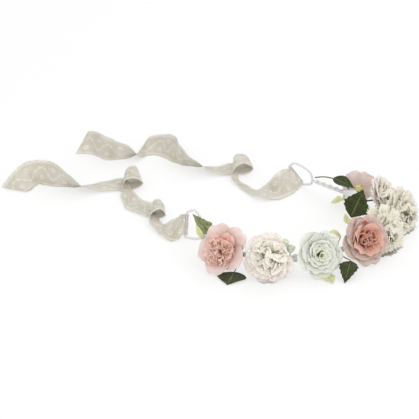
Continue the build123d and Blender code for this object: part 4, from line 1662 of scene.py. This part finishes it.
@dataclass
class Ribbon:
    """Lace ribbon in loose curls, with its end turned round the bar of an eye."""

    eye: Eye
    stations: tuple[tuple[float, float, float, float, float], ...]
    width: float = 24.0
    thick: float = 0.55
    hem_radius: float = 1.8
    hem_length: float = 19.0
    hem_turns: tuple[float, float, int] = (70.0, -235.0, 9)
    turned_in: float = 11.0
    gathered: float = 13.0
    edge_room: float = 0.5
    edge_share: float = 0.14
    ripples: tuple[tuple[float, float], tuple[float, float]] = ((0.35, 3.1), (0.25, 5.3))
    scallop: float = 5.0
    scallop_depth: float = 0.9
    picot: float = 1.25
    picot_reach: float = 0.95
    picot_sunk: float = 0.25
    picot_thread: float = 0.4
    picot_sides: int = 5
    picots_stop: float = 24.0
    spacing: float = 0.6
    columns: int = 33

    def rows(self) -> Array:
        """Middle line and direction across it, from the free end round the bar."""
        places = [(x, y, z, *heading(b, r)) for x, y, z, b, r in self.stations]
        bar = self.eye.at(0, self.eye.bar / 2)
        last = np.array(places[-1])
        inward = last[:3] - bar
        inward = unit(inward - self.eye.rise * (inward @ self.eye.rise))
        over = np.cross(self.eye.rise, inward)
        across = self.eye.rise * (1 if last[3:] @ self.eye.rise > 0 else -1)
        touch = bar + inward * (self.hem_radius * 1.6) + over * self.hem_radius * 0.9
        places.append((*touch, *across))
        for turn in np.radians(np.linspace(*self.hem_turns)):
            spot = bar + (inward * math.cos(turn) + over * math.sin(turn)) * self.hem_radius
            places.append((*spot, *across))
        return smooth_path(np.array(places, float), self.spacing)

    def _surface(self) -> tuple[Array, Array, Array, Array]:
        """The cloth's middle surface.

        Returns:
            Its points, its flat places, the direction out of it at each row and the distance of each row from
            the free end.
        """
        rows = self.rows()
        path, across = rows[:, :3], unit(rows[:, 3:])
        run = run_along(path)
        tail = np.clip((run[-1] - run - self.turned_in) / self.gathered, 0, 1)
        half = self.hem_length / 2 + (self.width / 2 - self.edge_room - self.hem_length / 2) * tail ** 0.7
        t = np.linspace(-1, 1, self.columns)[None]
        beat = self.scallop_depth * np.abs(np.sin(run * math.pi / self.scallop)) ** 0.7
        edge = np.sign(t) * np.clip((np.abs(t) - 1 + self.edge_share) / self.edge_share, 0, 1)
        reach = half[:, None] * t + edge * (beat * np.clip(tail * 4, 0, 1))[:, None]
        face = unit(np.cross(unit(np.gradient(path, axis=0)), across))
        (edge_wave, edge_beat), (wave, beat_length) = self.ripples
        ripple = (edge_wave * np.sin(run / edge_beat)[:, None] * t ** 2 * np.sign(t)
                  + wave * np.sin(run / beat_length + 1.0)[:, None]) * np.clip(tail * 3, 0, 1)[:, None]
        grid = path[:, None] + across[:, None] * reach[..., None] + face[:, None] * ripple[..., None]
        grid[..., 2] = np.maximum(grid[..., 2], self.thick / 2 + 0.1)
        uv = np.stack(np.broadcast_arrays(half[:, None] * t, run[:, None]), axis=2)
        return grid, uv, face, run

    def build(self, body: str) -> None:
        """Make the ribbon and its edge loops.

        Args:
            body: Body that it moves with.
        """
        grid, uv, face, run = self._surface()
        cloth = ClothMesh()
        cloth.sheet(grid, self.thick, uv, 0.5)
        piece = settle(cloth.build(f"{self.eye.name}_ribbon_lace"), LACE, body, f"{self.eye.name}_ribbon")
        loops = self._picots(grid, face, run)
        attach(loops, body)
        area = self._area(grid)
        self.width * MM
        round(area / self.width, 1) * MM
        log.info("%s: middle line %.0f mm, cloth area %.0f mm2", piece.name, run[-1], area)

    def _picot_places(self, grid: Array, face: Array, run: Array) -> bpy.types.Mesh:
        """Points along both edges of the ribbon, up to where the hem begins, each with its directions.

        Args:
            grid: Points of the ribbon.
            face: Direction out of the ribbon at each row.
            run: Distance of each row from the free end.

        Returns:
            A mesh of points with the attributes outwards and facing.
        """
        places = np.arange(1.0, run[-1] - self.picots_stop, self.picot * 2)

        def along(rows: Array) -> Array:
            """Rows read off at the loops' places."""
            return np.stack([np.interp(places, run, rows[:, c]) for c in range(3)], axis=1)
        edges = [along(grid[:, column]) for column in (0, -1)]
        outs = np.concatenate([unit(edge - along(grid[:, inner])) for edge, inner in zip(edges, (2, -3))])
        points = np.concatenate(edges)
        points[:, 2] = np.maximum(points[:, 2], 0.4 + 0.8 * np.maximum(0.0, -outs[:, 2]))
        source = bpy.data.meshes.new("picot_places")
        source.from_pydata((points * MM).tolist(), [], [])
        for label, values in (("outwards", outs), ("facing", np.concatenate([unit(along(face))] * 2))):
            attribute = source.attributes.new(label, "FLOAT_VECTOR", "POINT")
            attribute.data.foreach_set("vector", values.astype(np.float32).reshape(-1))
        return source

    def _picots(self, grid: Array, face: Array, run: Array) -> bpy.types.Object:
        """Small thread loops along both edges.

        Args:
            grid: Points of the ribbon.
            face: Direction out of the ribbon at each row.
            run: Distance of each row from the free end.

        Returns:
            The piece.
        """
        source = self._picot_places(grid, face, run)
        turn = np.linspace(-0.5 * math.pi, 0.5 * math.pi, 7)
        out, side = np.cos(turn) * self.picot_reach - self.picot_sunk, np.sin(turn) * self.picot * 0.72
        cloth = ClothMesh()
        cloth.bar(np.stack([out, side, 0 * turn], axis=1), self.picot_thread / 2, self.picot_sides, tone=0.5)
        loop = cloth.build(f"{self.eye.name}_picot_one")
        inputs = [("Loop", "NodeSocketObject", loop), ("Size", "NodeSocketFloat", 1.0),
                  ("Unevenness", "NodeSocketFloat", 0.12), ("Seed", "NodeSocketInt", 7)]
        maker = Repeater("picot_edge", inputs)
        bench = maker.bench
        outwards, facing = (bench.add("GeometryNodeInputNamedAttribute", {"data_type": "FLOAT_VECTOR"},
                                      {"Name": label}) for label in ("outwards", "facing"))
        aim = bench.add("FunctionNodeAlignRotationToVector", {"axis": "X"}, {"Vector": outwards})
        level = bench.add("FunctionNodeAlignRotationToVector", {"axis": "Z", "pivot_axis": "X"},
                          {"Rotation": aim, "Vector": facing})
        size = bench.random(maker.given("Size") - maker.given("Unevenness"),
                            maker.given("Size") + maker.given("Unevenness"), maker.given("Seed"))
        maker.copy(maker.given("Geometry"), "Loop", level, size, PICOT_THREAD.material())
        piece = maker.make(f"{self.eye.name}_ribbon_picots", source)
        bpy.data.objects.remove(loop)
        PICOT_THREAD.dress(piece)
        return piece

    @staticmethod
    def _area(grid: Array) -> float:
        """Area of a grid of points."""
        down, over = np.diff(grid, axis=0)[:, :-1], np.diff(grid, axis=1)[:-1]
        return float(np.linalg.norm(np.cross(down, over), axis=2).sum())


# ---------------------------------------------------------------- studio

@dataclass
class Studio:
    """Camera, plain floor, lamps and world."""

    elevation: float = 25.0
    distance: float = 1800.0
    target: tuple[float, float, float] = (-66.1, -2.8, 24.75)
    lens: float = 168.1
    sensor: float = 36.0
    clip_end: float = 50.0
    floor_half: float = 6.0
    floor_tone: float = 0.93
    floor_glow: float = 0.6
    world_strength: float = 0.8
    lamps: tuple[tuple[str, tuple[float, float, float], float, float], ...] = (
        ("key", (-0.5, -1.6, 1.1), 1.4, 9.4), ("fill", (1.3, -0.9, 1.3), 1.6, 7.0),
        ("back", (0.6, 1.2, 1.4), 1.6, 6.4))

    def build(self) -> None:
        """Make everything that isn't part of the crown."""
        scene = bpy.context.scene
        scene.view_settings.view_transform = "Standard"
        rise = math.radians(self.elevation)
        look = Vector((0, math.cos(rise), -math.sin(rise)))
        camera = bpy.data.objects.new("camera", bpy.data.cameras.new("camera"))
        camera.data.sensor_width = self.sensor
        camera.data.lens = self.lens
        camera.data.clip_end = self.clip_end
        camera.location = (Vector(self.target) - look * self.distance) * MM
        camera.rotation_euler = look.to_track_quat("-Z", "Y").to_euler()
        scene.collection.objects.link(camera)
        scene.camera = camera
        self._floor()
        self._lamps()
        self._world()

    def _floor(self) -> None:
        """A wide pale table, nearly white where it is seen directly."""
        mesh = bpy.data.meshes.new("floor")
        half = self.floor_half
        corners = [(-half, -half, 0), (half, -half, 0), (half, half, 0), (-half, half, 0)]
        mesh.from_pydata(corners, [], [(0, 1, 2, 3)])
        floor = bpy.data.objects.new("floor", mesh)
        bpy.context.scene.collection.objects.link(floor)
        material = bpy.data.materials.new("pale_floor")
        material.use_nodes = True
        tree = material.node_tree
        shader = tree.nodes["Principled BSDF"]
        shader.inputs["Base Color"].default_value = (self.floor_tone, self.floor_tone, self.floor_tone, 1)
        shader.inputs["Roughness"].default_value = 0.9
        shader.inputs["Specular IOR Level"].default_value = 0.0
        bench = Bench(tree)
        seen = bench.add("ShaderNodeLightPath", None, None, "Is Camera Ray")
        glow = bench.add("ShaderNodeEmission", None, {"Color": (1.0, 1.0, 1.0), "Strength": 1.0})
        mix = bench.add("ShaderNodeMixShader", None,
                        {0: seen * self.floor_glow, 1: Link(bench, shader.outputs[0]), 2: glow})
        tree.links.new(mix.socket, tree.nodes["Material Output"].inputs["Surface"])
        mesh.materials.append(material)

    def _lamps(self) -> None:
        """Large soft lamps: in front and a little to the left, to the right, and a weaker one behind."""
        for name, place, size, power in self.lamps:
            lamp = bpy.data.lights.new(name, "AREA")
            lamp.shape, lamp.size, lamp.energy = "DISK", size, power
            light = bpy.data.objects.new(name, lamp)
            light.location = place
            light.rotation_euler = (-Vector(place)).to_track_quat("-Z", "Y").to_euler()
            bpy.context.scene.collection.objects.link(light)

    def _world(self) -> None:
        """An even white world, pure white where it is seen directly."""
        world = bpy.data.worlds.new("studio")
        bpy.context.scene.world = world
        world.use_nodes = True
        bench = Bench(world.node_tree)
        background = world.node_tree.nodes["Background"]
        background.inputs["Color"].default_value = (1, 1, 1, 1)
        seen = bench.add("ShaderNodeLightPath", None, None, "Is Camera Ray")
        strength = self.world_strength + seen * (1 - self.world_strength)
        world.node_tree.links.new(strength.socket, background.inputs["Strength"])


# ---------------------------------------------------------------- the crown

NEAR_EYE = Eye("near", 214.0, -1, np.array([-88.6, -13.9, 1.4]), np.array([-86.8, -6.7, 23.6]),
               np.array([-70.0, -24.0, 11.1]), (25.0, 7.8), ((10.0, 26.0),), ((15.0, 1.2),))
FAR_EYE = Eye("far", 400.0, 1, np.array([25.1, 104.6, 1.4]), np.array([11.1, 105.0, 20.6]),
              np.array([34.1, 94.1, 10.1]), (17.0, 2.2), ((11.0, 25.5), (20.5, 13.0)), ((10.0, -1.2),))

FLOWERS = [
    Flower("near_rose", 235, 240, 36, 4.0, 23.0, 17.0, 10.0, Kind.ROSE, lift=2.4),
    Flower("carnation", 262, 262, 26, 3.0, 22.5, 17.5, 11.0, Kind.POM),
    Flower("white_rose", 289, 289, 22, 3.0, 21.0, 16.0, 8.0, Kind.SPIRAL, lift=2.4),
    Flower("front_rose", 322, 298, 25, 3.0, 23.5, 18.0, 12.0, Kind.QUARTERED),
    Flower("cream_flower", 340, 313, 20, 8.0, 18.5, 13.5, 5.0, Kind.SERRATED, reach=1.5),
    Flower("side_flower", 5, 322, 20, 22.0, 19.5, 14.5, 6.0, Kind.SERRATED),
    Flower("far_flower", 25, 332, 25, 17.0, 18.5, 13.5, 5.0, Kind.SERRATED, pale=True),
    Flower("far_rose", 39, 76, 2, 12.0, 16.5, 12.0, 4.5, Kind.OPEN),
]

LEAVES = [
    Leaf("near_variegated_leaf", 217, "top", (-65.7, -50, 23.5), (-81.3, -30, 32.9), (-0.2, -0.8, 0.6), 16.0,
         4, finish=VARIEGATED_LEAF, widest=0.14, point=0.95),
    Leaf("near_pale_leaf", 218, "outer", (-71.9, -52.0, 19.4), (-77.8, -46, 29.5), (-0.5, -0.8, 0.3), 6.0, 1,
         finish=PALE_LEAF),
    Leaf("front_dark_leaf", 245, "outer", (-44.0, -84.0, 1.4), (-50.6, -108, 0.8), (0, 0, 1), 27.0, 1,
         fold=3.0, widest=0.44, point=1.2),
    Leaf("front_pale_leaf", 296, "outer", (35.5, -86.0, 1.6), (42.3, -106, 1.0), (0, 0, 1), 13.0, 1, fold=3.0,
         finish=PALE_LEAF, widest=0.45, point=1.3),
    Leaf("front_serrated_leaf", 303, "outer", (59.5, -79, 9.5), (52.6, -105, 1.2), (0, -0.3, 1), 18.0, 6,
         widest=0.35, point=1.35),
    Leaf("inner_pale_leaf", 306, "inner", (51.0, -60, 25.0), (38.4, -66, 31.2), (0, -0.5, 1), 9.0, 1,
         finish=PALE_LEAF, point=1.4),
    Leaf("upright_serrated_leaf", 6, "inner", (65.0, 8, 12.0), (76.5, 18, 35.0), (0, -1, 0.5), 26.0, 7,
         widest=0.4, point=1.15),
    Leaf("inner_small_leaf", 358, "inner", (62.0, -3.0, 10.1), (59.0, 1.0, 19.0), (-0.3, -1, 0.4), 6.0, 1,
         finish=PALE_LEAF, point=1.4),
    Leaf("far_dark_leaf", 38, "top", (51.3, 64, 26.1), (70.5, 49.5, 22.5), (0, -0.5, 1), 13.0, 1,
         tail=(35.0, 78.0, 20.9), point=1.4),
    Leaf("far_pale_leaf", 40, "inner", (61.0, 46.5, 12.0), (49.4, 54, 5.1), (0, -0.5, 1), 10.0, 2,
         finish=PALE_LEAF, point=1.3),
]

BUDS = [Bud("upper_bud", 270.5, (0.3, -84.0, 30.0), 6.5), Bud("lower_bud", 273.5, (5.5, -84.5, 24.5), 6.5)]

NEAR_STATIONS = (
    (-256, 93, 1.4, 160, 0), (-244, 104, 10, 142, 48), (-236, 110, 12, 160, 68),
    (-225, 108, 12, 60, 76), (-213, 99, 12.5, -80, 78), (-201, 93, 10.5, -90, 52),
    (-189, 91, 6, -90, 25), (-177, 97, 3, -90, 9), (-167, 101, 1.8, -90, 2),
    (-157, 103, 2, -90, -3), (-146, 104, 2, -90, -3), (-137, 105, 4, -86, -2),
    (-133, 104, 9, -80, 0), (-138, 104, 15, -88, -3), (-146, 103, 14, -94, -8),
    (-149, 98, 9, -95, -12), (-148, 88, 4.5, -104, -8), (-144, 74, 2.4, -109, -3),
    (-138, 60, 1.6, -124, 0), (-130, 52, 1.6, -135, 0), (-121, 43, 1.8, -122, 0),
    (-113, 37, 2.5, -103, 0), (-108, 34, 6.5, -84, 0), (-112.5, 36, 12, -88, 3),
    (-119.5, 35, 9.5, -95, -4), (-120, 27, 5, -98, -3), (-116, 15, 3, -95, 0),
    (-111, 3, 2.6, -91, 3), (-105, -5, 4, -91, -12), (-97, -11, 8.4, -95, -40))
FAR_STATIONS = (
    (-195, 187, 10.8, 38, 52), (-183, 181, 12.6, 0, 75), (-169, 167, 12.6, -20, 78),
    (-156, 162, 12, -80, 66), (-145, 164, 10, -90, 47), (-138, 173, 5, -90, 18),
    (-133, 184, 2.6, -90, -4), (-127, 190, 6, -92, -26), (-115, 187, 8, -98, -36),
    (-104, 170, 12, -112, -64), (-96, 153, 12, 100, -72), (-85, 142, 9.5, 90, -45),
    (-74, 138, 6.5, 90, -27), (-63, 138, 3, 90, -10), (-53, 139, 2, 90, -3),
    (-44, 141, 2, 90, 3), (-34, 141, 2.4, 92, 2), (-27, 141, 5, 97, 0),
    (-25.5, 141, 9, 101, 0), (-33, 141, 13.5, 95, 0), (-40, 138, 12, 90, 5),
    (-43, 131, 7.5, 84, 8), (-40, 119, 3.5, 84, 3), (-36, 105, 1.8, 100, 0),
    (-28, 91, 1.8, 101, -2), (-18, 80, 3.5, 97, -10), (-8, 81, 5.5, 98, 16),
    (2, 81, 11, 112, 55), (11, 91, 11.5, 142, 60))


def main() -> None:
    """Build the studio and the crown, piece by piece."""
    logging.basicConfig(level=logging.INFO, format="%(name)s: %(message)s")
    Studio().build()
    band = Band()
    band.build()
    for eye in (NEAR_EYE, FAR_EYE):
        eye.build(band)
    heads = Heads()
    for flower in FLOWERS:
        flower.build(heads)
    for leaf in LEAVES:
        leaf.build(band)
    for bud in BUDS:
        bud.build(band)
    Ribbon(NEAR_EYE, NEAR_STATIONS).build("near_ribbon")
    Ribbon(FAR_EYE, FAR_STATIONS).build("far_ribbon")


if __name__ == "__main__":
    main()
